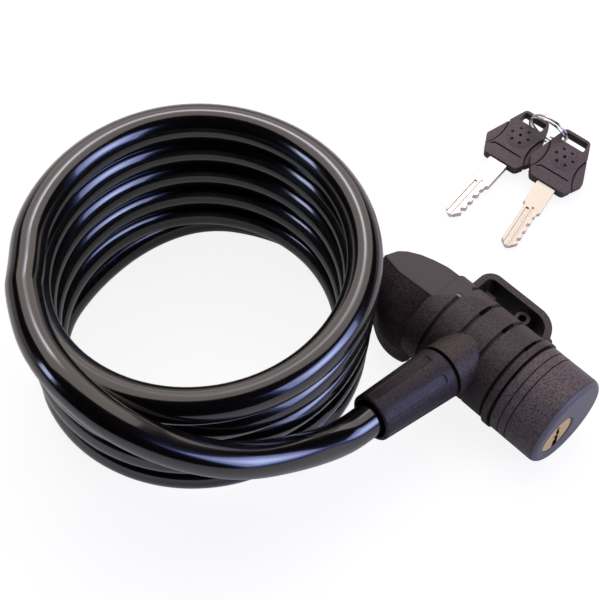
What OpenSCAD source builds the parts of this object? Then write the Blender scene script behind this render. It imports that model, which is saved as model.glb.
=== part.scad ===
// Self-coiling cable lock: a moulded lock barrel with a keyed cylinder, a coated
// steel cable that is fixed in the rear head and plugs into the barrel's side,
// a strap bracket on the back, and two keys on a split ring.
// +X runs along the barrel to the key face, +Z is up, and the origin lies on the
// table, under the barrel's axis, in the flat land that the barrel rests on.

/* [Barrel] */
// Outer diameter of the moulded barrel
barrel_d = 29; // [28:0.5:32]
// Thickness of the barrel's moulded wall
barrel_wall = 2.5; // [1.8:0.1:2.8]
// Distance from the table up to the barrel's axis
axis_z = 15; // [15:0.5:18]
// Length of the barrel housing, from the rear head to the trim ring
housing_len = 32.4; // [32:0.1:33]
// Distance between two grip grooves
groove_pitch = 8.5; // [7.5:0.1:8.8]
// Depth of the grip grooves
groove_depth = 0.8; // [0.4:0.1:1.2]
// Width of the flat land under the barrel
land_w = 12; // [8:1:14]

/* [Cap] */
// Outer diameter of the front cap
cap_d = 29.4; // [28:0.2:31]
// Length of the front cap
cap_len = 17; // [16:0.5:20]
// Radius of the cap's rounded front edge
cap_round = 2.2; // [1:0.1:3.4]
// Outer diameter of the trim ring behind the cap
ring_d = 30.4; // [30:0.2:32]
// Width of the trim ring's raised band
ring_w = 2; // [1:0.1:2.2]

/* [Key cylinder] */
// Diameter of the brass key cylinder
plug_d = 12.2; // [11.6:0.1:12.6]
// Sideways distance from the barrel's axis to the cylinder's axis
plug_off_y = -4.3; // [-4.6:0.1:-4]
// Height of the cylinder's axis, counted from the barrel's axis
plug_off_z = -1.2; // [-1.4:0.1:-1]
// Length of the brass cylinder
plug_len = 24; // [20:0.5:24.5]
// Depth of the brass face below the cap's face
face_recess = 0.4; // [0.3:0.1:1.5]
// Running clearance of the turning and sliding pieces, on the radius
running_gap = 0.05; // [0.03:0.01:0.08]
// Number of pin tumblers
tumbler_count = 5; // [4:1:5]
// Distance between two pin tumblers
tumbler_pitch = 3.2; // [3:0.1:3.4]
// Diameter of a pin tumbler
tumbler_d = 2.4; // [2:0.1:2.5]

/* [Locking pin] */
// Diameter of the locking pin
pin_d = 8; // [7.4:0.1:8]
// Diameter of the pin's neck, where the cylinder's tail grips it
pin_neck_d = 4.8; // [4.2:0.1:4.8]
// Diameter of the cylinder's half-round tail
tail_d = 7; // [6.6:0.1:7]
// Distance from the tail's axis to its flat
tail_flat = 1.7; // [1.2:0.1:1.8]
// Height of the pin's axis at the barrel's mid-plane, counted from the barrel's axis
socket_off_z = 4.5; // [4.4:0.1:4.8]
// Place of the pin's axis along the barrel
socket_x = -7.5; // [-8:0.5:-7]
// Angle by which the pin's axis leans to the rear
socket_lean = 4; // [2:0.5:4.5]
// Angle by which the pin's axis rises outwards
socket_rise = 8; // [5:0.5:8]
// Length of the pin inside the barrel's mid-plane
pin_reach = 5; // [4:0.5:6]

/* [Socket and boot] */
// Outer diameter of the socket's collar
collar_d = 16.4; // [16:0.1:18]
// Distance from the barrel's mid-plane to the collar's end
collar_end = 17; // [16.5:0.1:18]
// Width of the dark gap between collar and boot
boot_gap = 0.9; // [0.8:0.1:1.5]
// Length of the boot
boot_len = 26.5; // [25:0.5:28]
// Diameter of the boot at the collar
boot_d1 = 16.1; // [15.6:0.1:17]
// Diameter of the boot at the cable
boot_d2 = 14.3; // [13.8:0.1:15]
// Depth of the shadow recess round the cable
boot_recess = 4; // [2:0.5:6]

/* [Cable] */
// Outer diameter of the coated cable
cable_d = 10; // [9:0.1:10.1]
// Diameter of the steel rope inside the coating
rope_d = 6; // [5:0.5:7]
// Radius of the lowest turn, at the cable's centre
coil_r_low = 44.7; // [44:0.1:45]
// Radius of the highest turn, at the cable's centre
coil_r_high = 46.3; // [45.5:0.1:46.6]
// Rise of the coil in one turn
coil_pitch = 10.5; // [10.5:0.05:10.9]
// How much the coil is flattened on its side away from the lock
coil_flat = 1.6; // [0:0.1:2]

/* [Bracket] */
// Thickness of the bracket strap
strap_t = 2.2; // [1.8:0.1:2.6]
// Height of the top edge of the strap above the table
strap_top = 18; // [17:0.5:19]
// Height of the strap's lower edge above the table
strap_low = 4; // [3:0.5:5]
// Distance from the barrel's mid-plane to the strap's outer face
strap_reach = 22.9; // [22.5:0.1:24]
// Diameter of the pins that hold the strap's ends
strap_pin_d = 1.6; // [1.4:0.1:1.8]
// Diameter of the hole in the bracket's boss
boss_hole_d = 2.6; // [2:0.1:3]

/* [Keys] */
// Length of a key's moulded bow
bow_len = 22.6; // [22:0.1:24]
// Greatest width of the bow
bow_w = 19.6; // [19:0.1:20.4]
// Thickness of the bow's middle
bow_t = 3.2; // [3:0.1:4]
// Thickness of the bow's side wings
wing_t = 2.4; // [2:0.1:2.6]
// Length of the key's metal blade
blade_len = 27; // [26:0.5:30]
// Width of the blade at its shoulder
blade_w = 6.8; // [6.4:0.1:7.4]
// Thickness of the blade
blade_t = 2; // [1.6:0.1:2.4]
// Mean radius of the split ring
key_ring_r = 6.8; // [6.7:0.05:6.9]
// Wire thickness of the split ring
ring_wire_d = 0.75; // [0.7:0.05:0.9]

/* [Hidden] */
$fn = 64;
e = 0.01;

// Stations along the barrel
barrel_r = barrel_d / 2;
bore_r = barrel_r - barrel_wall;
housing_rear = -26;
housing_front = housing_rear + housing_len;
trim_len = 2.6;
cap_rear = housing_front + trim_len;
face_x = cap_rear + cap_len;
rear_wall = 4;
seat_gap = 0.1;
body_r = bore_r - seat_gap;
body_rear = housing_rear + rear_wall + seat_gap;
cap_front_wall = 3.8;
body_front = face_x - cap_front_wall - seat_gap;
first_groove = housing_rear + 6.2;
facet_z = axis_z + 11;
groove_w = 1.4;
pocket_w = 1.4;
pocket_y = [2, 7.2];
land_x = [housing_rear + 6, housing_front - 0.4];

// Rear head and the tang of the lock body that carries it
head_far = 9.5;
tang_y = [0.5, 7];
tang_z = axis_z + 3.6;
tang_h = 5;
tang_len = 14;
head_screw_x = [-29.5, -34.7];
head_screw_y = 10.4;

// Key cylinder
plug_r = plug_d / 2;
plug_z = axis_z + plug_off_z;
plug_front = face_x - face_recess;
plug_rear = plug_front - plug_len;
plug_bore_r = plug_r + running_gap;
tail_r = tail_d / 2;
tail_bore_r = tail_r + running_gap;
tail_end = socket_x - pin_d / 2 - 2.5;
clip_t = 1;
chamber_r = tumbler_d / 2 + 0.1;
first_tumbler = plug_front - 6;
cover_w = 4.4;
cover_t = 1.2;
cover_top = axis_z + sqrt(pow(body_r, 2) - pow(abs(plug_off_y) + cover_w / 2, 2)) - 0.2;
shear_z = plug_r;
key_pin_len = 2.2;
driver_len = 2;

// Socket axis, counted outwards from the barrel's mid-plane
pin_r = pin_d / 2;
pin_bore_r = pin_r + running_gap;
tail_s = abs(plug_off_y) * cos(socket_rise) + (plug_off_z - socket_off_z) * sin(socket_rise);
neck_from = tail_s - tail_r - 0.5;
neck_to = tail_s + tail_r + 0.5;
spring_room = 5.4;
boot_from = collar_end + boot_gap;
boot_to = boot_from + boot_len;
ferrule_r = cable_d / 2 + 0.6;
ferrule_from = boot_from + 3;
ferrule_to = boot_to - boot_recess - 6;
sheath_end = ferrule_to;
bush_from = barrel_r - 3;
bush_r = pin_r + 1.4;

// Cable
cable_r = cable_d / 2;
coil_low_c = [-70.8, -54.2];
coil_high_c = [-68.3, -54.5];
coil_low_z = cable_r + 3.5;
coil_start_a = 236;
coil_turns = 5;
coil_flat_a = 200;
stub = 3;
coil_rise = coil_turns * coil_pitch;
rings_per_turn = 24;
coil_sides = 6;
cord_sides = 10;
coil_steps = round(coil_turns * rings_per_turn);
// Anchor of the fixed cable end in the rear head
anchor_y = -1;
anchor_z = 8.5;
anchor_x = -45;
anchor_r = cable_r + 1;
spigot_r = anchor_r - 1.2;
anchor_from = 8;
anchor_to = housing_rear + rear_wall + 1.6 - anchor_x;
// Route of the cable from the boot round the front of the coil, up to its start
front_route = [
    [-14, -70, 35], [-20, -84.6, 42], [-31, -96.6, 49.4], [-45, -104.6, 56.8],
    [-60, -106.8, 60.9], [-74, -104.4, 61.7]
];
// Route of the cable from the coil's end, down to the table and round to the rear head
tail_route = [
    [-107.5, -79.2, 7.8], [-112, -68, 7], [-114.6, -56, 6.1], [-115.2, -44, 5.4],
    [-113.4, -33, 5.1], [-109.5, -23.8, 5.1], [-103.5, -16.2, 5.1], [-95.5, -10.4, 5.2],
    [-86, -6, 5.5], [-75, -3, 6], [-64, -1.5, 7], [-55, -1, 8]
];

// Bracket
strap_in_l = housing_rear + 5.8;
strap_in_r = housing_front - 10.4;
corner_l = 4.4;
corner_r = 8.8;
strap_cover = 2.6;
pin_top = strap_top - strap_cover;
pin_x = [strap_in_l - corner_l + strap_t / 2, strap_in_r + corner_r - strap_t / 2];
pin_y = 16.6;
knuckle_r = 1.7;
base_y = 16.2;
base_x = [housing_rear + 3.9, housing_front - 4.1];
boss_at = [-6.7, 17.6];
boss_r = 2.4;
boss_top = strap_top - 2.4;
lug_h = 2.8;
base_plate = 0.6;
base_back = barrel_r + 0.2;
strap_foot = base_back + 0.05;
screw_x = [-15.5, -9.5];
screw_z = 11;
rib_x = [housing_rear + 5.5, housing_front - 1];
rib_z = [screw_z - 4.6, screw_z + 4.6];

// Keys: entry of the blade into the bow, heading, pitch and roll
key_1_at = [-57.3, 66.2, 3.35];
key_1_turn = [4.4, 0, 96];
key_2_at = [-39.3, 69, 4.4];
key_2_turn = [5.4, 10.5, 103.5];
bow_top_w = 10.2;
slot_y = bow_len - 3;
slot_w = 8.6;
slot_h = 3.8;
slot_r = 0.6;
ring_at = [-53.3, 86, 7.3];
ring_heading = 8.5;
ring_lean = 15;
ring_turns = 2;
ring_pitch = ring_wire_d + 0.42;

// ---------- helpers ----------

function unit(v) = v / norm(v);

// A ring of n points of radius r round c, square to the direction d
function ring_points(c, d, r, n) =
    let (s = unit(cross(abs(d[2]) > 0.9 ? [1, 0, 0] : [0, 0, 1], d)), u = cross(d, s))
    [for (i = [0 : n - 1]) c + r * (cos(360 * i / n) * s + sin(360 * i / n) * u)];

// Direction of a path at its point i, square to the end stretches at both ends
function heading(p, i) =
    i == 0 ? unit(p[1] - p[0])
    : i == len(p) - 1 ? unit(p[i] - p[i - 1])
    : unit(unit(p[i] - p[i - 1]) + unit(p[i + 1] - p[i]));

// A closed tube of triangles along a path
module tube(p, r, n) {
    count = len(p);
    points = [for (i = [0 : count - 1]) each ring_points(p[i], heading(p, i), r, n)];
    sides = [for (i = [0 : count - 2], j = [0 : n - 1])
        let (a = i * n + j, b = i * n + (j + 1) % n) each [[a, b, a + n], [b, b + n, a + n]]];
    first = [for (j = [1 : n - 2]) [0, j + 1, j]];
    last = [for (j = [1 : n - 2]) let (k = (count - 1) * n) [k, k + j, k + j + 1]];
    polyhedron(points, concat(sides, first, last));
}

// Least distance between points of a path that lie a turn or so apart
function self_gap(p, near, d) =
    min([for (i = [0 : len(p) - 1 - near], j = [i + near : len(p) - 1]) norm(p[i] - p[j])]) - d;

module along_x(x0, x1, r) {
    translate([x0, 0, 0]) rotate([0, 90, 0]) cylinder(h = x1 - x0, r = r);
}

module on_barrel() {
    translate([0, 0, axis_z]) children();
}

module on_plug() {
    translate([0, plug_off_y, plug_z]) children();
}

// Turns local +Z into the socket's outward direction
module on_socket() {
    translate([socket_x, 0, axis_z + socket_off_z])
        rotate([0, 0, -socket_lean]) rotate([90 - socket_rise, 0, 0]) children();
}

module on_anchor() {
    translate([anchor_x, anchor_y, anchor_z]) rotate([0, 90, 0]) children();
}

function socket_dir() = [
    -sin(socket_lean) * cos(socket_rise), -cos(socket_lean) * cos(socket_rise), sin(socket_rise)
];
function socket_point(s) = [socket_x, 0, axis_z + socket_off_z] + s * socket_dir();

// ---------- barrel ----------

// Lines where the upper rear of the barrel is cut down to the flat facet
module rear_cut() {
    far = 40;
    translate([0, 0, facet_z]) linear_extrude(far) polygon([
        [housing_rear - far, -4.6], [housing_rear, -4.6], [housing_rear + 1, -2.6],
        [housing_rear + 9.4, 6], [housing_rear + 12, 7.9], [housing_rear + 15.5, 9],
        [housing_rear + 19, 9.6], [housing_rear + 19, far], [housing_rear - far, far]
    ]);
}

module groove(x) {
    translate([x, 0, axis_z]) rotate([0, 90, 0]) rotate_extrude() polygon([
        [barrel_r + 1, -groove_w / 2 - 0.6], [barrel_r, -groove_w / 2],
        [barrel_r - groove_depth, -0.2], [barrel_r - groove_depth, 0.2],
        [barrel_r, groove_w / 2], [barrel_r + 1, groove_w / 2 + 0.6]
    ]);
}

module pocket(x) {
    translate([x - pocket_w / 2, pocket_y[0], axis_z + barrel_r - 3])
        cube([pocket_w, pocket_y[1] - pocket_y[0], 4]);
}

module barrel_housing() {
    color("#2b2a2c") difference() {
        union() {
            on_barrel() along_x(housing_rear, housing_front, barrel_r);
            translate([land_x[0], -land_w / 2, 0])
                cube([land_x[1] - land_x[0], land_w, axis_z - bore_r]);
            intersection() {
                on_socket() cylinder(h = collar_end, d = collar_d);
                translate([-60, -60, 0]) cube([120, 60, 60]);
            }
            bracket_rib();
        }
        on_barrel() along_x(body_rear - seat_gap, housing_front + 1, bore_r);
        rear_cut();
        for (i = [0 : 3]) difference() {
            groove(first_groove + i * groove_pitch);
            translate([-60, -30, -e]) cube([120, 60, axis_z - bore_r]);
            on_socket() cylinder(h = 40, d = collar_d);
            bracket_rib();
        }
        for (i = [1 : 3]) pocket(first_groove + i * groove_pitch);
        on_socket() cylinder(h = 60, r = bush_r + seat_gap);
        on_anchor() cylinder(h = 40, r = spigot_r + seat_gap);
        translate([housing_rear, 0, 0]) tang(seat_gap, 3);
        for (x = screw_x) translate([x, 0, screw_z]) rotate([-90, 0, 0]) cylinder(h = 30, r = 1);
    }
}

// Flat rib on the barrel's back that the bracket is screwed to
module bracket_rib() {
    translate([rib_x[0], bore_r + 1, rib_z[0]])
        cube([rib_x[1] - rib_x[0], barrel_r + 0.2 - bore_r - 1, rib_z[1] - rib_z[0]]);
}

module front_cap() {
    r = cap_d / 2;
    lines = [cap_rear + 3, cap_rear + 5.7];
    color("#39383b") difference() {
        on_barrel() rotate([0, 90, 0]) translate([0, 0, cap_rear]) rotate_extrude() polygon(concat(
            [[bore_r, 0], [r - 0.3, 0], [r, 0.5], [r, cap_len - cap_round]],
            [for (a = [10 : 10 : 90])
                [r - cap_round * (1 - cos(a)), cap_len - cap_round + cap_round * sin(a)]],
            [[0, cap_len], [0, cap_len - cap_front_wall], [bore_r, cap_len - cap_front_wall]]
        ));
        for (x = lines) on_barrel() translate([x, 0, 0]) rotate([0, 90, 0]) difference() {
            cylinder(h = 0.35, r = r + 1);
            translate([0, 0, -1]) cylinder(h = 3, r = r - 0.35);
        }
        on_plug() along_x(body_front - 1, face_x + 1, plug_r + 0.25);
        on_plug() translate([face_x - face_recess, 0, 0]) rotate([0, 90, 0])
            cylinder(h = face_recess + e, r1 = plug_r + 0.25, r2 = plug_r + 0.7);
    }
}

module trim_ring() {
    color("#242326") on_barrel() difference() {
        union() {
            along_x(housing_front, housing_front + ring_w, ring_d / 2);
            along_x(housing_front, cap_rear, cap_d / 2 - 1.2);
        }
        along_x(housing_front - 1, cap_rear + 1, bore_r);
    }
}

// ---------- rear head ----------

module head_solid() {
    low_r = 14.2;
    hull() {
        translate([0, 0, facet_z - 1]) linear_extrude(1) polygon([
            [housing_rear + 3, -1.4], [-40, -2.2], [-46.6, -1], [-45, 2.9], [-43, 4.8],
            [-39.4, 6.8], [-35.3, 8.2], [-31, 9.2], [housing_rear + 3, head_far]
        ]);
        translate([-30.4, -0.6, 5]) cylinder(h = 5.5, r = low_r, $fn = 32);
        translate([-30.4, -0.6, 0.8]) cylinder(h = 1, r = low_r - 3, $fn = 32);
        translate([anchor_x - 1.4, anchor_y, anchor_z]) rotate([0, 90, 0])
            cylinder(h = 2, r = 7.2, $fn = 32);
    }
}

module rear_head() {
    depth = tang_len + 0.6;
    top = tang_z + tang_h / 2 + 0.2;
    color("#2b2a2c") difference() {
        head_solid();
        translate([housing_rear, -30, -1]) cube([60, 60, 60]);
        translate([housing_rear - depth, -2.5, anchor_z])
            cube([depth + 1, tang_y[1] + 2.7, top - anchor_z]);
        translate([housing_rear - depth + 3, -9, 6]) cube([depth + 1, 17, 7]);
        on_anchor() translate([0, 0, -10]) cylinder(h = 30, r = anchor_r + 0.4);
        for (x = head_screw_x) translate([x, 0, tang_z]) rotate([-90, 0, 0]) {
            cylinder(h = 30, r = 1.3);
            translate([0, 0, head_screw_y - 1.6]) cylinder(h = 20, r = 2.3);
        }
    }
}

// Tang of the lock body that carries the rear head
module tang(gap, extra) {
    translate([-tang_len, tang_y[0] - gap, tang_z - tang_h / 2 - gap])
        cube([tang_len + rear_wall + extra, tang_y[1] - tang_y[0] + 2 * gap, tang_h + 2 * gap]);
}

module head_screws() {
    color("#8d9096") for (x = head_screw_x) translate([x, 0, tang_z]) rotate([-90, 0, 0]) {
        translate([0, 0, tang_y[0] + 1]) cylinder(h = head_screw_y - tang_y[0] - 1, r = 1.1);
        translate([0, 0, head_screw_y - 1.5]) difference() {
            cylinder(h = 1.5, r = 2.1);
            for (a = [0, 90]) rotate([0, 0, a]) translate([-1.3, -0.25, 0.8]) cube([2.6, 0.5, 2]);
        }
    }
}

// ---------- lock body and key cylinder ----------

function tumbler_x(i) = first_tumbler - i * tumbler_pitch;

module lock_body() {
    color("#a6a8ab") difference() {
        union() {
            on_barrel() along_x(body_rear, body_front, body_r);
            translate([housing_rear, 0, 0]) tang(0, 2);
        }
        on_plug() along_x(plug_rear - 0.3, body_front + 1, plug_bore_r);
        on_plug() along_x(tail_end - 0.5, plug_rear + 1, tail_bore_r);
        on_plug() along_x(tail_end - 0.5, tail_end + clip_t + 0.5, tail_r + 1.3);
        on_socket() translate([0, 0, -pin_reach - spring_room]) cylinder(h = 60, r = pin_bore_r);
        on_socket() translate([0, 0, bush_from - 0.2]) cylinder(h = 60, r = bush_r + seat_gap);
        for (i = [0 : tumbler_count - 1]) translate([tumbler_x(i), plug_off_y, plug_z])
            cylinder(h = 30, r = chamber_r);
        translate([tumbler_x(tumbler_count - 1) - 2.5, plug_off_y - cover_w / 2, cover_top - cover_t])
            cube([(tumbler_count - 1) * tumbler_pitch + 5, cover_w, 10]);
        on_anchor() cylinder(h = 40, r = anchor_r + 2);
        for (x = head_screw_x) translate([x, 0, tang_z]) rotate([-90, 0, 0]) cylinder(h = 30, r = 1.1);
    }
}

module chamber_cover() {
    gap = 0.08;
    color("#8f9296")
        translate([tumbler_x(tumbler_count - 1) - 2.5 + gap, plug_off_y - cover_w / 2 + gap,
            cover_top - cover_t])
            cube([(tumbler_count - 1) * tumbler_pitch + 5 - 2 * gap, cover_w - 2 * gap, cover_t]);
}

module driver_pins() {
    color("#c9a55a") for (i = [0 : tumbler_count - 1])
        translate([tumbler_x(i), plug_off_y, plug_z + shear_z + 0.1])
            cylinder(h = driver_len, d = tumbler_d);
}

module driver_springs() {
    base = plug_z + shear_z + 0.1 + driver_len;
    height = cover_top - cover_t - base;
    wire = 0.35;
    turns = 3;
    steps = turns * 8;
    color("#c4c7ca") for (i = [0 : tumbler_count - 1])
        tube([for (k = [0 : steps])
            [tumbler_x(i) + (tumbler_d / 2 - wire) * cos(45 * k),
             plug_off_y + (tumbler_d / 2 - wire) * sin(45 * k),
             base + wire / 2 + (height - wire) * k / steps]], wire / 2, 4);
}

// Keyway outline in the cylinder's face, open at the lower edge
module keyway() {
    polygon([
        [-1.1, -plug_r - 1], [-1.1, -2.6], [-0.2, -1.7], [-0.9, -1], [-0.9, -0.1], [0, 0.6],
        [-0.6, 1.3], [-0.6, 4], [0.5, 4], [0.5, 1.7], [1, 1.1], [1, -0.4], [0.4, -1.2],
        [1.1, -2], [1.1, -plug_r - 1]
    ]);
}

module key_cylinder() {
    color("#c79a52") on_plug() difference() {
        along_x(plug_rear, plug_front, plug_r);
        translate([plug_rear + 2, 0, 0]) rotate([90, 0, 90]) linear_extrude(plug_len) keyway();
        for (i = [0 : tumbler_count - 1]) translate([tumbler_x(i), 0, 0])
            cylinder(h = 20, r = chamber_r);
        along_x(plug_rear - 1, plug_rear + 1.5, 2.55);
    }
}

module key_pins() {
    color("#d8b56a") for (i = [0 : tumbler_count - 1])
        translate([tumbler_x(i), plug_off_y, plug_z + shear_z - 0.15 - key_pin_len])
            cylinder(h = key_pin_len, d = tumbler_d);
}

module cylinder_tail() {
    color("#b9bcc0") on_plug() difference() {
        union() {
            along_x(tail_end, plug_rear, tail_r);
            along_x(plug_rear, plug_rear + 1.4, 2.5);
        }
        rotate([-socket_rise, 0, 0])
            translate([socket_x - pin_r - 1.2, -10, tail_flat]) cube([2 * pin_r + 2.4, 20, 20]);
        difference() {
            along_x(tail_end + 0.3, tail_end + 0.3 + clip_t, tail_r + 1);
            along_x(tail_end, tail_end + 3, tail_r - 0.6);
        }
    }
}

module tail_clip() {
    gap = 0.04;
    color("#5d6063") on_plug() difference() {
        along_x(tail_end + 0.3 + gap, tail_end + 0.3 + clip_t - gap, tail_r + 1);
        along_x(tail_end, tail_end + 3, tail_r - 0.6 + gap);
        translate([tail_end - 1, -1.2, -10]) cube([5, 2.4, 10]);
    }
}

// ---------- socket and plug ----------

module socket_bush() {
    color("#86898d") difference() {
        on_socket() translate([0, 0, bush_from]) cylinder(h = collar_end - bush_from - 0.4, r = bush_r);
        on_socket() cylinder(h = 60, r = pin_bore_r);
    }
}

module eject_spring() {
    wire = 0.7;
    turns = 4;
    steps = turns * 8;
    r = pin_r - 0.9;
    room = spring_room - wire - 0.2;
    on_socket() color("#c4c7ca") translate([0, 0, -pin_reach - spring_room + 0.1 + wire / 2])
        tube([for (k = [0 : steps]) [r * cos(45 * k), r * sin(45 * k), room * k / steps]], wire / 2, 6);
}

module locking_pin() {
    tip = -pin_reach;
    shaft = ferrule_from;
    color("#c8cacd") on_socket() rotate_extrude() polygon([
        [0, tip], [pin_r - 1.2, tip], [pin_r, tip + 1.2], [pin_r, neck_from],
        [pin_neck_d / 2, neck_from], [pin_neck_d / 2, neck_to], [pin_r, neck_to],
        [pin_r, boot_from], [pin_r + 1, boot_from], [pin_r + 1, shaft], [0, shaft]
    ]);
}

module plug_ferrule() {
    color("#9a9da1") on_socket() translate([0, 0, ferrule_from]) difference() {
        cylinder(h = ferrule_to - ferrule_from, r = ferrule_r);
        translate([0, 0, 1.5]) cylinder(h = 40, d = rope_d);
        for (z = [3, 6, 9]) translate([0, 0, z]) difference() {
            cylinder(h = 0.8, r = ferrule_r + 1);
            translate([0, 0, -1]) cylinder(h = 4, r = ferrule_r - 0.4);
        }
    }
}

module plug_rope() {
    color("#c4c7ca") on_socket() translate([0, 0, ferrule_from + 1.5])
        cylinder(h = ferrule_to - ferrule_from - 1.5, d = rope_d);
}

module plug_boot() {
    r1 = boot_d1 / 2;
    r2 = boot_d2 / 2;
    panel_w = 3.2;
    sink = 0.42;
    panels = [50, 110, 170, 230, 290, 350];
    color("#302f31") on_socket() translate([0, 0, boot_from]) difference() {
        rotate_extrude() polygon([
            [0, 0], [r1 - 0.5, 0], [r1, 0.5], [r1, 1.6], [r2, boot_len - 0.6],
            [r2 - 0.6, boot_len], [0, boot_len]
        ]);
        for (a = panels) rotate([0, 0, a]) translate([r1 - sink, -panel_w / 2, 3.2])
            rotate([0, -atan((r1 - r2) / boot_len) * 1.5, 0]) cube([4, panel_w, boot_len - 5.2]);
        translate([0, 0, -1]) cylinder(h = 10, r = pin_r + 1 + seat_gap);
        translate([0, 0, ferrule_from - boot_from - seat_gap]) cylinder(h = 40, r = ferrule_r + seat_gap);
        translate([0, 0, boot_len - boot_recess]) cylinder(h = 40, r = cable_r + 1.3);
    }
}

module plug_seal() {
    color("#161618") on_socket() translate([0, 0, collar_end + 0.3]) difference() {
        cylinder(h = boot_gap - 0.3, r = boot_d1 / 2 - 1);
        translate([0, 0, -1]) cylinder(h = 5, r = pin_r + seat_gap);
    }
}

// ---------- cable ----------

function coil_height(t) = coil_low_z + coil_rise * (1 - t);
function coil_point(t) =
    let (a = coil_start_a - 360 * coil_turns * t,
        r = coil_r_high + (coil_r_low - coil_r_high) * t
            - coil_flat * pow(max(0, cos(a - coil_flat_a)), 4))
    concat(coil_high_c + (coil_low_c - coil_high_c) * t + r * [cos(a), sin(a)], [coil_height(t)]);
coil_run = [for (i = [0 : coil_steps]) coil_point(i / coil_steps)];
coil_in = unit(coil_run[0] - coil_run[1]);
coil_out = unit(coil_run[coil_steps] - coil_run[coil_steps - 1]);
coil_path = concat([coil_run[0] + stub * coil_in], coil_run,
    [coil_run[coil_steps] + stub * coil_out]);
echo(coil_gap = self_gap(coil_run, 16, cable_d));
echo(coil_length = len_of(coil_path));

function len_of(p) = len(p) < 2 ? 0 : sum([for (i = [1 : len(p) - 1]) norm(p[i] - p[i - 1])]);
function sum(v, i = 0) = i >= len(v) ? 0 : v[i] + sum(v, i + 1);

// The sheath ends inside the boot, at the ferrule
front_path = concat([socket_point(sheath_end), socket_point(boot_to + cable_d)], front_route,
    [coil_path[0] + stub * coil_in, coil_path[0]]);
coil_last = coil_path[len(coil_path) - 1];
tail_path = concat([coil_last, coil_last + stub * coil_out], tail_route,
    [[anchor_x - 2, anchor_y, anchor_z], [anchor_x + anchor_from, anchor_y, anchor_z]]);
echo(front_length = len_of(front_path));
echo(tail_length = len_of(tail_path));

module cable_front() {
    color("#17171a") tube(front_path, cable_r, cord_sides);
}

module cable_coil() {
    color("#17171a") tube(coil_path, cable_r, coil_sides);
}

module cable_tail() {
    color("#17171a") tube(tail_path, cable_r, cord_sides);
}

module anchor_rope() {
    color("#c4c7ca") on_anchor() translate([0, 0, anchor_from])
        cylinder(h = anchor_to - 2 - anchor_from, d = rope_d);
}

module anchor_ferrule() {
    from = anchor_from;
    color("#9a9da1") on_anchor() translate([0, 0, from]) difference() {
        union() {
            cylinder(h = anchor_to - from, r = spigot_r);
            cylinder(h = -anchor_x + housing_rear - from - 0.2, r = anchor_r + 0.3);
        }
        translate([0, 0, -1]) cylinder(h = anchor_to - from - 1, d = rope_d);
        for (z = [1.5, 4, 6.5]) translate([0, 0, z]) difference() {
            cylinder(h = 0.8, r = anchor_r + 3);
            translate([0, 0, -1]) cylinder(h = 4, r = anchor_r - 0.1);
        }
        translate([0, 0, -anchor_x + housing_rear + rear_wall - from + 0.3]) difference() {
            cylinder(h = 1, r = anchor_r + 3);
            translate([0, 0, -1]) cylinder(h = 4, r = spigot_r - 0.7);
        }
    }
}

module anchor_clip() {
    gap = 0.04;
    color("#5d6063") on_anchor() translate([0, 0, -anchor_x + housing_rear + rear_wall + 0.3 + gap])
        difference() {
            cylinder(h = 1 - 2 * gap, r = spigot_r + 0.5);
            translate([0, 0, -1]) cylinder(h = 4, r = spigot_r - 0.7 + gap);
            translate([0, -1.4, -1]) cube([20, 2.8, 4]);
        }
}

module anchor_gland() {
    color("#1d1d1f") on_anchor() translate([0, 0, -4]) difference() {
        union() {
            cylinder(h = 7.6, r = anchor_r + 0.3);
            cylinder(h = 2, r1 = anchor_r + 0.6, r2 = anchor_r + 1.3);
        }
        translate([0, 0, -1]) cylinder(h = 20, r = cable_r + 0.2);
    }
}

// ---------- bracket ----------

module bracket_base() {
    back = base_back;
    height = boss_top - 0.8 - strap_low;
    color("#2b2a2c") difference() {
        union() {
            translate([base_x[0], back, strap_low]) cube([base_x[1] - base_x[0], base_y - back, height]);
            translate([base_x[0] + 1, back, strap_low]) cube([4, 3.2, height]);
            translate([boss_at[0], boss_at[1], strap_low])
                cylinder(h = boss_top - strap_low, r = boss_r);
            for (x = pin_x, z = [strap_low, pin_top - lug_h]) {
                translate([x, pin_y, z]) cylinder(h = lug_h, r = knuckle_r);
                translate([x - knuckle_r, back, z]) cube([2 * knuckle_r, pin_y - back, lug_h]);
            }
            for (x = pin_x) translate([x - knuckle_r, back, strap_low])
                cube([2 * knuckle_r, base_plate, pin_top - strap_low]);
        }
        translate([boss_at[0], boss_at[1], 0]) cylinder(h = 40, d = boss_hole_d);
        for (x = pin_x) translate([x, pin_y, 0]) cylinder(h = 40, d = strap_pin_d);
        for (x = screw_x) translate([x, back - 1, screw_z]) rotate([-90, 0, 0]) {
            cylinder(h = 10, r = 1.2);
            translate([0, 0, base_y - back - 0.2]) cylinder(h = 10, r = 2.1);
        }
    }
}

module bracket_screws() {
    head = 1.1;
    color("#8d9096") for (x = screw_x) translate([x, 0, screw_z]) rotate([-90, 0, 0]) {
        translate([0, 0, bore_r + 0.4]) cylinder(h = base_y - 1.2 - bore_r, r = 0.98);
        translate([0, 0, base_y - 0.1 - head]) difference() {
            cylinder(h = head, r = 2);
            for (a = [0, 90]) rotate([0, 0, a]) translate([-1.2, -0.25, 0.6]) cube([2.4, 0.5, 2]);
        }
    }
}

// Plan of the strap's outer or inner line
module strap_plan(in) {
    ol = corner_l - in;
    or = corner_r - in;
    top = strap_reach - in;
    polygon(concat(
        [[strap_in_l - ol, -5]],
        [for (a = [180 : -10 : 90]) [strap_in_l + ol * cos(a), top - ol + ol * sin(a)]],
        [for (a = [90 : -7.5 : 0]) [strap_in_r + or * cos(a), top - or + or * sin(a)]],
        [[strap_in_r + or, -5]]
    ));
}

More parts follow.
